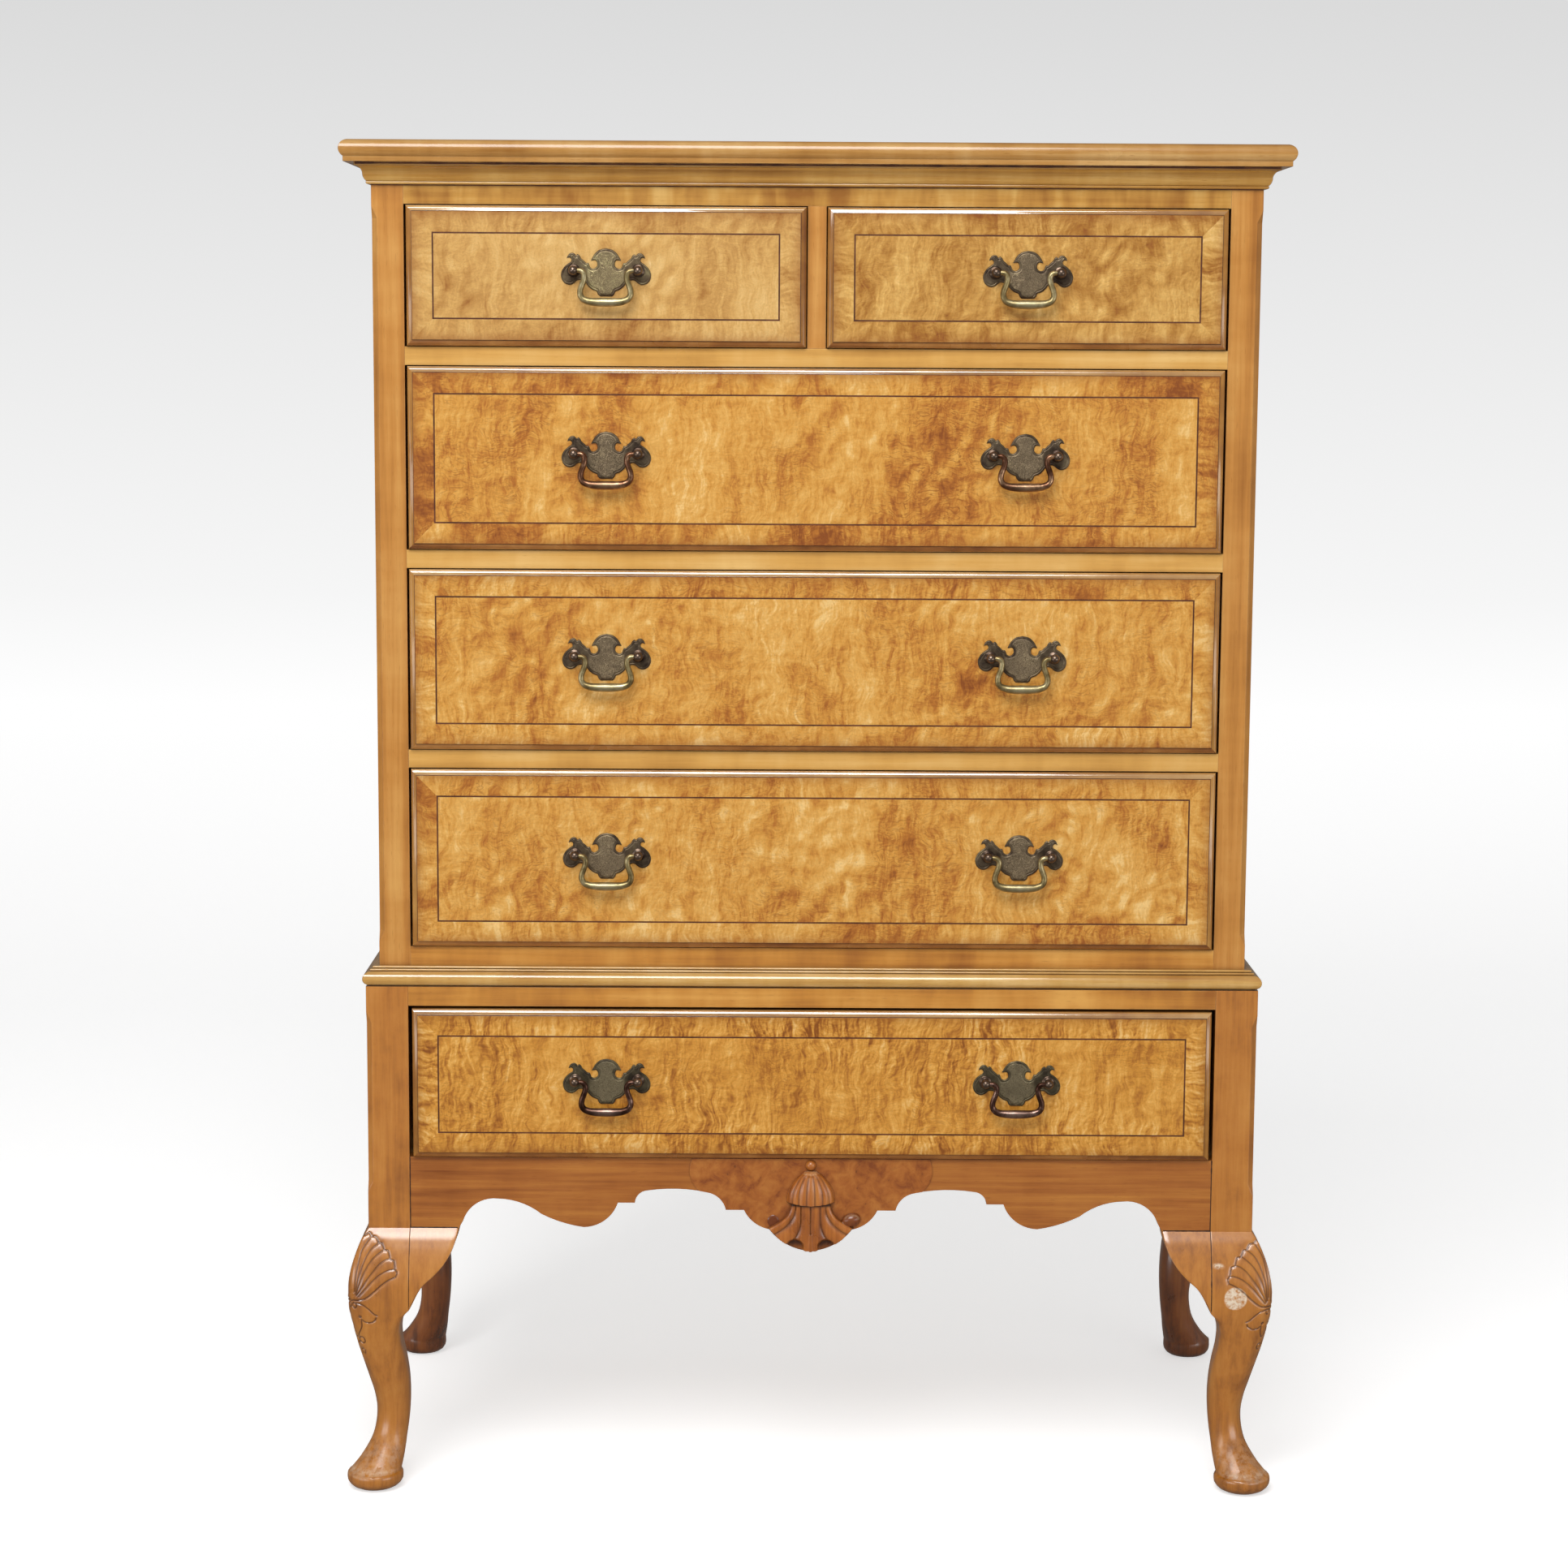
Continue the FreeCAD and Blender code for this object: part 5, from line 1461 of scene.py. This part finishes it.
    def chamfer_at(self, z: float) -> float:
        """Work out the stopped chamfer on the post's outer corner.

        Args:
            z: Height.

        Returns:
            Its size there, in mm.
        """
        foot, head, run = self.knee_top + self.chamfer_foot, self.top - self.chamfer_head, self.chamfer_run
        stops = (foot, foot + run, head - run, head)
        return float(np.interp(z, stops, (0.3, self.chamfer, self.chamfer, 0.3)))

    def levels(self) -> list[float]:
        """Heights of the slices above the pad, close together where there is carving.

        Returns:
            The heights, in mm.
        """
        knee, top = self.knee_top, self.top
        foot, head = knee + self.chamfer_foot, top - self.chamfer_head
        return [*np.arange(18.6, 148.0, 2.6), *np.arange(148.0, knee - 0.2, 0.55 if self.shell else 3.0),
                knee, knee + 0.15, knee + 20, foot, foot + 4, foot + 8, foot + 12, (foot + head) / 2,
                head - 12, head - 8, head - 4, head, top]

    def pad_slices(self) -> Iterable[Slice]:
        """Turn the pad foot, from the floor up.

        Returns:
            Its slices.
        """
        off = self.pad_off
        for radius, z in self.front_pad if self.shell else self.rear_pad:
            line, _ = self.section(z, off + radius, radius - off, radius, radius)
            worn = 0.6 if self.shell and 15.0 < z <= 18.2 else 0.15
            yield Slice([(x, y, z) for x, y in line], [0.0] * len(line),
                        [worn * max(0.0, (x + y - 2 * off) / (2 * radius)) for x, y in line],
                        [self.shade_at(z, (x + y) / 2) for x, y in line])

    def limb_slices(self) -> Iterable[Slice]:
        """Shape the shin, the knee and the post, from the pad up.

        Returns:
            Their slices.
        """
        half = self.post / 2
        shin_top = self.knee_top - self.block_drop
        swell_knee, swell_shin = smooth_reading(self.knee_swell), smooth_reading(self.shin_swell)
        setback_shin = smooth_reading(self.shin_setback)
        for z in self.levels():
            swell = setback = 0.0
            if z <= shin_top:
                share = (z - self.pad_top) / (shin_top - self.pad_top)
                swell, setback = float(swell_shin(share)), float(setback_shin(share))
            elif z <= self.knee_top:
                swell = float(swell_knee((self.knee_top - z) / self.block_drop))
            out, inward = half + swell, half - setback
            outer, inner = ((out + inward) / 2 * float(np.interp(z / self.knee_top, *zip(*knots)))
                            for knots in (self.outer_round, self.inner_round))
            if z > self.knee_top:
                outer, inner = self.chamfer_at(z) if self.shell else 0.5, 0.5
            line, walk = self.section(z, out, inward, outer, inner)
            row = [(x, y, z) for x, y in line]
            dark = [0.0] * len(line)
            if self.shell and 146 < z < self.knee_top + 1:
                row, dark = self.carve_row(row, walk)
            yield Slice(row, dark, [self.scuff_at(z, w) for w in walk],
                        [self.shade_at(z, (x + y) / 2) for x, y in line])

    def build(self, body: str) -> bpy.types.Object:
        """Build the leg over its CAD node.

        Args:
            body: The CAD body that it belongs to.

        Returns:
            The new piece.
        """
        middle_x, middle_y = (post_reach(self.node, axis) - self.post / 2 for axis in (0, 1))
        slices = [*self.pad_slices(), *self.limb_slices()]
        placed = [[(self.sign_x * (middle_x + x), self.sign_y * (middle_y + y), z) for x, y, z in one.row]
                  for one in slices]
        paint = {name: [getattr(one, name) for one in slices] for name in ("cut", "scuff", "shade")}
        skin = Skin()
        skin.tube(placed, flip=self.sign_x * self.sign_y < 0, paint=paint)
        name, finish = ("carved", LEG_MAPLE) if self.shell else ("shaped", REAR_MAPLE_PAINTED_SHADE)
        piece = skin.piece(f"{self.node}_{name}", body, [finish], "stained_maple", 50.0)
        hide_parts(self.node)
        return piece

    def carve_row(self, row: list[Point3], walk: list[float]) -> tuple[list[Point3], list[float]]:
        """Sink one slice's points by the depth of the carving.

        Args:
            row: The slice's points.
            walk: Their distance round from the outer corner.

        Returns:
            The sunk points, and how dark each is.
        """
        at = np.array(row)
        depth, dark = self.shell.carve(np.array(walk), at[:, 2])
        near = np.roll(at, -1, axis=0) - np.roll(at, 1, axis=0)
        near /= np.maximum(np.linalg.norm(near, axis=1), 1e-9)[:, None]
        at[:, :2] -= np.stack([near[:, 1], -near[:, 0]], axis=1) * depth[:, None]
        return [tuple(point) for point in at.tolist()], dark.tolist()

    def scuff_at(self, z: float, walk: float) -> float:
        """How worn the varnish is: the foot's toe, and a rubbed round on the right knee.

        Args:
            z: Height.
            walk: Distance round from the outer corner.

        Returns:
            Wear, 0..1.
        """
        if not self.shell:
            return 0.0
        round_foot = min(1.0, 2 * max(0.0, 1 - abs(walk) / 62))
        toe = round_foot * max(0.65 * max(0.0, 1 - abs(z - 21) / 8), 0.40 * max(0.0, 1 - abs(z - 34) / 34))
        if self.sign_x < 0 or walk <= 0:
            return toe
        round_at, round_z, radius = self.rubbed_round
        chip_at, chip_z, wide, high = self.chip
        patch = min(max((radius - math.hypot(walk - round_at, z - round_z)) / 1.5, 0.0), 1.0)
        chip = min(max(1.6 - math.hypot((walk - chip_at) / wide, (z - chip_z) / high), 0.0), 1.0)
        return max(patch, chip, toe)

    def shade_at(self, z: float, out: float) -> float:
        """How much painted shade a place gets: the inner corners, and a rear leg toward the floor."""
        inside = 0.45 * min(max((2.0 - out) / 20.0, 0.0), 1.0) if z < self.knee_top - 60 else 0.0
        return inside if self.shell else min(0.10 + 0.30 * max(0.0, 1 - z / 60) + inside, 0.9)


def post_reach(node: str, axis: int) -> float:
    """How far a leg's post stands from the centre, read from the top points of its CAD node.

    Args:
        node: The leg's CAD node.
        axis: 0 for across, 1 for deep.

    Returns:
        Distance of the post's outer face, in mm.
    """
    _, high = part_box(node)
    mesh = bpy.data.objects[node].data
    return max(abs(v.co[axis]) for v in mesh.vertices if v.co.z > high.z - 1e-4) / MM


@dataclass
class KneeBlocks:
    """The brackets beside the knees, smooth from the apron down to the shin."""

    node: str
    corners: tuple[tuple[int, int], ...]
    along_x: bool
    wide: float = 49.8
    drop: float = 81.7
    top: float = 276.7
    behind: float = 5.0
    post: float = 43.0
    centre: Point2 = (432.8, 212.5)
    # The free edge, as (share of the drop, share of the width).
    edge: Knots = ((0.0, 1.0), (0.12, 0.955), (0.30, 0.84), (0.46, 0.665), (0.60, 0.44), (0.675, 0.30),
                   (0.77, 0.19), (0.89, 0.09), (1.0, 0.0))

    def build(self, body: str) -> bpy.types.Object:
        """Build the brackets over their CAD node.

        Args:
            body: The CAD body that they belong to.

        Returns:
            The new piece.
        """
        swell, reach = smooth_reading(CabrioleLeg.knee_swell), smooth_reading(self.edge)
        skin = Skin()
        half = self.post / 2
        for sign_x, sign_y in self.corners:
            rows = []
            for share in np.linspace(0.0, 0.985, 44):
                z = self.top - share * self.drop
                face = half + float(swell(share))
                near, far = -half, -half - self.wide * float(reach(share))
                soft = min(1.2, (near - far) / 3)
                ring = [
                    (near, -self.behind), (near, face), *((near + (far - near) * k / 8, face)
                    for k in range(1, 8)), (far + soft, face), (far + soft * 0.3, face - soft * 0.3),
                    (far, face - soft), (far, -self.behind)]
                place = [(a, b) if self.along_x else (b, a) for a, b in ring]
                rows.append([(sign_x * (self.centre[0] + a), sign_y * (self.centre[1] + b), z)
                             for a, b in place])
            skin.tube(rows, flip=(sign_x * sign_y > 0) == self.along_x)
        piece = skin.piece(f"{self.node}_shaped", body, [LEG_MAPLE], "stained_maple", 50.0)
        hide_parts(self.node)
        return piece


@dataclass
class JointLines:
    """Wax-dark open joints of the aprons and knee blocks, and dark lines at the cornice's joints that are
    partly joint wax and partly painted shadow under the top board and the cove, a hair proud of the wood.
    """

    post_edge: float = 411.3
    front: float = -234.0
    knee_top: float = 276.7
    apron_top: float = 351.6
    drop: float = 81.7
    block: float = 49.8
    cornice_overhang: float = 15.0
    proud: float = 0.06

    def ribbon(self, skin: Skin, middle: Sequence[Point3], across: Point3, widths: Sequence[float],
               finish: int = 0) -> None:
        """Lay one ribbon of wax.

        Args:
            skin: The mesh to add to.
            middle: Points along its middle.
            across: Direction of its width.
            widths: Its width at each point.
            finish: Number of its finish.
        """
        side = Vector(across)
        rows = [[tuple(Vector(at) - side * width / 2), tuple(Vector(at) + side * width / 2)]
                for at, width in zip(middle, widths)]
        # The ribbon faces out of the front, whichever way it runs.
        run = Vector(middle[-1]) - Vector(middle[0])
        skin.grid(rows, finish=finish, flip=side.cross(run).y > 0)

    def build(self, body: str) -> bpy.types.Object:
        """Build all the joints as one piece.

        Args:
            body: The CAD body that they belong to.

        Returns:
            The new piece.
        """
        swell = smooth_reading(CabrioleLeg.knee_swell)
        skin = Skin()
        level, upright = (0.0, 0.0, 1.0), (1.0, 0.0, 0.0)
        y = self.front - self.proud

        def uneven(x: float, y: float, z: float) -> float:
            """How far a joint's width strays at a place."""
            return abs(noise.noise(Vector((x, y, z))))

        for sign in (-1, 1):
            edge = sign * self.post_edge
            heights = np.linspace(self.knee_top, self.apron_top, 40)
            self.ribbon(skin, [(edge - sign * 0.3, y, float(z)) for z in heights], upright,
                        [0.9 + 0.9 * uneven(z * 0.11, sign * 3.0, 0.0) for z in heights])
            shares = np.linspace(0.0, 0.96, 40)
            below = [(edge, y - float(swell(share)), self.knee_top - share * self.drop) for share in shares]
            open_by = 1.0 if sign > 0 else 0.45
            self.ribbon(
                skin, below, upright, [open_by * (0.7 + uneven(share * 9, sign, 5.0)) for share in shares])
            across = np.linspace(0.0, self.block - 1.0, 24)
            self.ribbon(skin, [(edge - sign * float(a), y, self.knee_top + 0.6) for a in across], level,
                        [1.1 + 0.7 * uneven(a * 0.13, sign, 9.0) for a in across])
        # Dark lines at the cornice's top and bottom joints: partly joint wax, partly painted shadow under the
        # top board and under the cove.
        low, high = box_in_mm("cornice_front")
        for z, y, inset, width in ((high.z - 1.1, low.y, 1.0, 2.0),
                                   (low.z - 0.6, low.y + self.cornice_overhang, self.cornice_overhang, 1.3)):
            run = np.linspace(low.x + inset, high.x - inset, 120)
            self.ribbon(skin, [(float(x), y - self.proud, z) for x in run], level,
                        [width * (0.65 + 0.7 * uneven(x * 0.06, z, 0.0)) for x in run], 1)
        return skin.piece("waxed_joints", body, [WAX, THIN_WAX_AND_SHADOW], "stained_maple")


# ---- tassel
def dome(gap: np.ndarray) -> np.ndarray:
    """Height of a round form of radius 1 at a distance from its middle, 0 outside it."""
    return np.sqrt(np.clip(1 - gap**2, 0.0, 1.0))


def share_of(at: np.ndarray) -> np.ndarray:
    """Hold values within 0 and 1."""
    return np.clip(at, 0.0, 1.0)


@dataclass
class Tassel:
    """The carved drop on the apron: ball, ribbed cap, fluted skirt and one scroll that is left.

    Shapes are drawn in (across from the centre, drop below the apron's top), and stand off the
    burl panel.
    """

    apron_top: float = 351.6
    panel_y: float = -235.0
    step: float = 0.55
    cap_half: Knots = ((12.0, 0.0), (12.6, 4.5), (14.2, 7.5), (17.4, 11.6), (25.4, 18.6), (32.6, 22.7),
                       (39.9, 24.4), (49.0, 24.7))
    cap_rise: Knots = ((12.0, 3.5), (13.2, 6.2), (19.0, 8.2), (29.0, 10.0), (38.5, 10.8), (49.0, 11.2))
    rib_angles: tuple[float, ...] = (-90, -70, -50, -30, -10, 10, 30, 50, 70, 90)
    flute_edges: tuple[float, ...] = (-20.5, -15.5, -10.0, 0.0, 10.0, 15.5, 20.5)
    pendant: tuple[Point2, ...] = ((0.0, 97.2), (30.7, 86.1), (42.6, 74.3))
    edge: float = 1.0
    cap_top: float = 12.0
    cap_rim: float = 45.0
    # Each of these is its place (across, drop) and its size (half width, half height, rise).
    ball: tuple[Point2, Point3] = ((0.0, 6.6), (5.5, 5.6, 5.6))
    scroll: tuple[Point2, Point3] = ((41.5, 64.0), (9.4, 7.2, 6.4))
    stump: tuple[Point2, Point3] = ((-38.5, 65.5), (6.2, 6.6, 0.7))

    def inside_pendant(self, x: np.ndarray, drop: np.ndarray) -> np.ndarray:
        """Whether points lie on the apron, clear of the pendant's edge.

        Args:
            x: Across from the centre.
            drop: Below the apron's top.

        Returns:
            True where they do.
        """
        (x0, z0), (x1, z1), (x2, z2) = self.pendant
        sums = np.array([x1**2 + z1**2 - x0**2 - z0**2, x2**2 + z2**2 - x0**2 - z0**2])
        middle = np.linalg.solve(2 * np.array([[x1 - x0, z1 - z0], [x2 - x0, z2 - z0]]), sums)
        radius = math.dist(middle, self.pendant[0]) - self.edge
        return (np.hypot(np.abs(x) - middle[0], drop - middle[1]) < radius) | (drop < 73.0)

    def cap(self, x: np.ndarray, drop: np.ndarray) -> tuple[np.ndarray, np.ndarray]:
        """Height of the ribbed cap, and its dark grooves.

        Args:
            x: Across from the centre.
            drop: Below the apron's top.

        Returns:
            Height in mm, and darkness 0..1.
        """
        half = smooth_reading(self.cap_half)(drop)
        rise = smooth_reading(self.cap_rise)(drop)
        rim = self.cap_rim + 2.9 * (1 - np.clip(x / self.cap_half[-1][1], -1.0, 1.0) ** 2)
        on = (drop > self.cap_top) & (np.abs(x) < half) & (drop < rim)
        share = np.clip(x / np.maximum(half, 0.1), -1.0, 1.0)
        angle = np.degrees(np.arcsin(share))
        gap = np.min(np.abs(angle[..., None] - np.array(self.rib_angles)), axis=-1)
        height = rise * np.sqrt(1 - share**2) * (0.86 + 0.14 * np.sqrt(share_of(gap / 10.0)))
        height = height * share_of((rim - drop) / 1.6 + 0.55)
        across = gap * np.pi / 180 * half
        dark = np.exp(-(across / 0.9) ** 2) * share_of((drop - 14.0) / 8.0) * 0.6
        return np.where(on, height, 0.0), np.where(on, dark, 0.0)

    def skirt(self, x: np.ndarray, drop: np.ndarray) -> tuple[np.ndarray, np.ndarray]:
        """Height of the skirt, whose flutes sweep outward, and its dark grooves, with painted shade in its
        two lower hollows.

        Args:
            x: Across from the centre.
            drop: Below the apron's top.

        Returns:
            Height in mm, and darkness 0..1.
        """
        tops = np.linspace(0.0, 24.0, 97)
        start = np.maximum(50.0 + (15.0 - tops) * 2.3, 45.0)
        root = np.empty_like(x)
        for row, level in enumerate(drop[:, 0]):
            swept = tops * (1 + (np.clip(level - start, 0.0, 60.0) / 26.0) ** 2.5)
            root[row] = np.sign(x[row]) * np.interp(np.abs(x[row]), swept, tops, right=40.0)
        on = (np.abs(root) < 20.5) & (drop > 44.0)
        edges = np.array(self.flute_edges)
        place = np.clip(np.searchsorted(edges, root) - 1, 0, len(edges) - 2)
        width = edges[place + 1] - edges[place]
        t = share_of((root - edges[place]) / width)
        height = (3.2 + 4.4 * dome(root / 21.5)) * (0.72 + 0.28 * dome(2 * t - 1))
        spread = np.maximum(np.abs(x), 2.0) / np.maximum(np.abs(root), 2.0)
        gap = np.minimum(t, 1 - t) * width * spread
        dark = 0.55 * np.exp(-(gap / 0.95) ** 2)
        bulb = (drop - 78.0) / 16.0
        central = dome(x / (3.2 + 4.2 * share_of(bulb)))
        height = np.maximum(height, np.where(bulb > 0, 8.2 * central, 0.0))
        dark = dark * np.where(bulb > 0, 1 - central, 1.0)
        # The two lower hollows are sunk and take painted shade, darker toward their upper edge.
        hollow = 1.15 - np.hypot((np.abs(x) - 16.0) / 9.0, (drop - 93.0) / 9.0)
        hollow = share_of(hollow * 3.0) * np.where(np.abs(x) < 7.2, 0.0, 1.0)
        height = height * (1 - 0.8 * hollow)
        dark = np.maximum(dark * (1 - 0.7 * hollow), 0.85 * hollow * np.clip((96 - drop) / 8, 0.25, 1.0))
        return np.where(on, height, 0.0), np.where(on, dark, 0.0)

    def build(self, body: str) -> bpy.types.Object:
        """Build the tassel over its CAD node.

        Args:
            body: The CAD body that it belongs to.

        Returns:
            The new piece.
        """
        x, drop = np.meshgrid(np.arange(-48.0, 53.0, self.step), np.arange(0.4, 97.0, self.step))
        cap, cap_dark = self.cap(x, drop)
        skirt, skirt_dark = self.skirt(x, drop)
        # Painted shadow: a dark band on the skirt just under the cap's rim.
        skirt_dark = np.maximum(skirt_dark, 0.95 * share_of(1 - (drop - 47.9) / 2.2))
        (at, down), (wide, high, rise) = self.ball
        ball = rise * np.sqrt(share_of(1 - ((x - at) / wide) ** 2 - ((drop - down) / high) ** 2))
        (at, down), (wide, high, rise) = self.scroll
        scroll_gap = np.hypot((x - at + 0.25 * (drop - down)) / wide, (drop - down) / high)
        scroll = rise * dome(scroll_gap)
        (at, down), (wide, high, rise) = self.stump
        stump = rise * share_of(4.0 * (1 - np.hypot((x - at) / wide, (drop - down) / high)))
        height = np.maximum.reduce([cap, skirt, ball, scroll, stump])
        dark = np.where(cap >= height, cap_dark, np.where(skirt >= height, skirt_dark, 0.0))
        dark = np.maximum(dark, np.where((height > 0) & (height < 1.2) & (stump <= 0), 0.6, 0.0))
        scrolled = (scroll >= height) & (scroll > 0)
        shade = np.where(scrolled, 0.75, 0.0) + np.where(stump >= height, 0.9, 0.0)
        # Painted highlights: the scroll's upper rim and the top of the cap are painted pale.
        pale = np.where((scroll >= height) & (np.abs(scroll_gap - 0.82) < 0.10) & (drop < 63.0), 1.0, 0.0)
        pale = np.maximum(pale, np.where((cap >= height) & (drop < 15.5), 0.5, 0.0))
        height = np.where((height > 0.05) & self.inside_pendant(x, drop), height, -0.5)
        skin = Skin()
        skin.grid(np.dstack([x, self.panel_y - height, self.apron_top - drop]).tolist(), flip=True,
                  paint={"cut": dark.tolist(), "shade": shade.tolist(), "scuff": pale.tolist()})
        raised = height.ravel() > 0
        skin.faces = [face for face in skin.faces if raised[list(face)].any()]
        skin.finish_numbers = [0] * len(skin.faces)
        skin.drop_loose()
        piece = skin.piece("carved_tassel", body, [TASSEL_MAPLE], "red_maple", 60.0)
        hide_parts("apron_tassel")
        return piece


# ---- studio
@dataclass
class Studio:
    """Camera, soft lamps, pale floor and backdrop."""

    camera_at: Point3 = (-0.0404, -3.4805, 1.1793)
    yaw: float = 0.186
    pitch: float = -7.721
    roll: float = 0.327
    focal_pixels: float = 4000.0
    frame_pixels: float = 1932.0
    sensor: float = 36.0
    room_light: float = 0.25
    # The sweep, in metres: its near end, where it bends up, the bend's radius, its top, half its width.
    sweep_near: float = -9.0
    bend_at: float = 2.2
    bend_radius: float = 2.4
    sweep_top: float = 9.0
    sweep_half: float = 12.0
    # Each lamp's name, place, aim, size and watts.
    lamps: tuple[tuple[str, Point3, Point3, Point2, float], ...] = (
        ("high softbox", (-0.60, -2.8, 3.4), (-0.15, -0.2, 0.8), (2.2, 1.9), 100.0),
        ("low left fill", (-2.6, -2.6, 0.5), (0.0, -0.2, 0.35), (2.4, 0.8), 18.0),
        ("low right fill", (2.6, -2.6, 0.5), (0.0, -0.2, 0.35), (2.4, 0.8), 18.0))

    def camera(self) -> None:
        """Set the camera at its viewing angle."""
        yaw, pitch, roll = (math.radians(v) for v in (self.yaw, self.pitch, self.roll))
        ahead = Vector((math.sin(yaw) * math.cos(pitch), math.cos(yaw) * math.cos(pitch), math.sin(pitch)))
        right = Vector((math.cos(yaw), -math.sin(yaw), 0.0))
        above = right.cross(ahead)
        tilted_right = right * math.cos(roll) + above * math.sin(roll)
        tilted_up = above * math.cos(roll) - right * math.sin(roll)
        eye = bpy.data.objects.new("camera", bpy.data.cameras.new("camera"))
        bpy.context.scene.collection.objects.link(eye)
        eye.data.sensor_width = self.sensor
        eye.data.lens = self.focal_pixels * self.sensor / self.frame_pixels
        turned = Matrix((tilted_right, tilted_up, -ahead)).transposed().to_4x4()
        eye.matrix_world = Matrix.Translation(self.camera_at) @ turned
        bpy.context.scene.camera = eye

    def lamp(self, name: str, at: Point3, aim: Point3, size: Point2, watts: float) -> None:
        """Hang one soft box.

        Args:
            name: Its name.
            at: Where it hangs, in metres.
            aim: What it points at.
            size: Width and height.
            watts: Its power.
        """
        light = bpy.data.lights.new(name, "AREA")
        light.shape = "RECTANGLE"
        light.size, light.size_y = size
        light.energy = watts
        lamp = bpy.data.objects.new(name, light)
        lamp.location = at
        lamp.rotation_euler = (Vector(aim) - Vector(at)).to_track_quat("-Z", "Y").to_euler()
        bpy.context.scene.collection.objects.link(lamp)

    def sweep(self) -> None:
        """Build the pale floor that curves up into a backdrop, and its even white paint."""
        graph = Graph("sweep paper")
        add = graph.add
        height = add("SeparateXYZ", (add("TexCoord", out="Object"),), "Z")
        tone = add("MapRange", (height, 0.4, 2.1))
        colour = add("ValToRGB", (tone,), stops=((0.0, "#ffffff"), (0.13, "#f6f6f6"), (0.94, "#dbdbdb")))
        seen = add("LightPath", out="Is Camera Ray")
        wall = add("MapRange", (height, 0.02, 0.35))
        backdrop = add("Math", (seen, wall), operation="MULTIPLY")
        lift = add("Math", (seen, 0.58), operation="MULTIPLY")
        paper = add("BsdfDiffuse", {"Color": "#e9e9e9"})
        glow = add("Emission", {"Color": "#ffffff", "Strength": lift})
        floor_paint = add("AddShader", (paper, glow))
        wall_paint = add("Emission", {"Color": colour, "Strength": 1.0})
        both = add("MixShader", (backdrop, floor_paint, wall_paint))
        # In the varnish the paper shows as a dim room, so it lays no white haze over the wood.
        room = add("Emission", {"Color": "#6b6560", "Strength": 1.0})
        whole = add("MixShader", (add("LightPath", out="Is Glossy Ray"), both, room))
        paint = graph.close(whole)
        bend, radius = self.bend_at, self.bend_radius
        turns = [math.pi / 2 * k / 12 for k in range(1, 13)]
        profile = [
            (self.sweep_near, 0.0), (bend, 0.0), *((bend + radius * math.sin(turn),
            radius * (1 - math.cos(turn))) for turn in turns), (bend + radius, self.sweep_top)]
        mesh = bpy.data.meshes.new("floor_sweep")
        points = [(x, y, z) for y, z in profile for x in (-self.sweep_half, self.sweep_half)]
        faces = [(2 * k, 2 * k + 1, 2 * k + 3, 2 * k + 2) for k in range(len(profile) - 1)]
        mesh.from_pydata(points, [], faces)
        mesh.polygons.foreach_set("use_smooth", [True] * len(faces))
        mesh.materials.append(paint)
        floor = bpy.data.objects.new("floor_sweep", mesh)
        bpy.context.scene.collection.objects.link(floor)

    def build(self) -> None:
        """Set up the whole studio."""
        scene = bpy.context.scene
        scene.view_settings.view_transform = "Standard"
        world = bpy.data.worlds.new("soft room")
        world.use_nodes = True
        sky = world.node_tree.nodes["Background"]
        sky.inputs["Color"].default_value = (1.0, 1.0, 1.0, 1.0)
        sky.inputs["Strength"].default_value = self.room_light
        scene.world = world
        self.camera()
        self.sweep()
        for lamp in self.lamps:
            self.lamp(*lamp)


# ---- the whole piece
@dataclass
class Drawer:
    """One drawer with its veneered front, its box and its handles."""

    body: str
    veneer: QuiltedVeneer
    tone: BrassTone
    two_handles: bool

    def build(self, nodes: dict[str, bpy.types.Object]) -> list[bpy.types.Object]:
        """Build and dress the drawer.

        Args:
            nodes: The CAD nodes by name.

        Returns:
            The new pieces.
        """
        paint_node(nodes[f"{self.body}_box"], INSIDE_DEEP)
        pieces = [DrawerFront(f"{self.body}_front", self.body, self.veneer).build()]
        field_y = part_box(f"{self.body}_front")[0].y / MM
        names = [f"{self.body}_bail{side}" for side in (("_left", "_right") if self.two_handles else ("",))]
        mounts = []
        for bail_node in names:
            low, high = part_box(bail_node)
            pivot_z = high.z / MM - 2.05
            centre = ((low.x + high.x) / 2 / MM, field_y, pivot_z)
            handle = Handle(bail_node.replace("_bail", "_plate"), self.body, bail_node, centre, self.tone)
            mounts.append(handle.build_mount())
            pieces.append(handle.build_bail())
        for mount in mounts:
            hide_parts(f"{self.body}_handle_mounts")
        return pieces + mounts


def main() -> None:
    """Build every sub-assembly in order and report each piece."""
    logging.basicConfig(level=logging.INFO, format="%(message)s")
    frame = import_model()
    nodes = frame["nodes"]
    Studio().build()
    Case().dress(nodes)
    pieces: list[bpy.types.Object] = []
    for body, (brass, veneer) in DRAWERS.items():
        pieces += Drawer(body, veneer, brass, not body.startswith("top")).build(nodes)
    for node, sign_x, sign_y in (("front_leg_left", -1, -1), ("front_leg_right", 1, -1),
                                 ("rear_leg_left", -1, 1), ("rear_leg_right", 1, 1)):
        shell = KneeShell((-4.0, -2.8)) if sign_x > 0 else KneeShell()
        pieces.append(CabrioleLeg(node, sign_x, sign_y, shell if sign_y < 0 else None).build("case"))
    pieces.append(KneeBlocks("knee_blocks_front", ((-1, -1), (1, -1)), True).build("case"))
    pieces.append(KneeBlocks("knee_blocks_side", ((-1, -1), (1, -1), (-1, 1), (1, 1)), False).build("case"))
    pieces.append(JointLines().build("case"))
    pieces.append(Tassel().build("case"))
    for piece in pieces:
        LOG.info("%s: %d points", piece.name, len(piece.data.vertices))


if __name__ == "__main__":
    main()
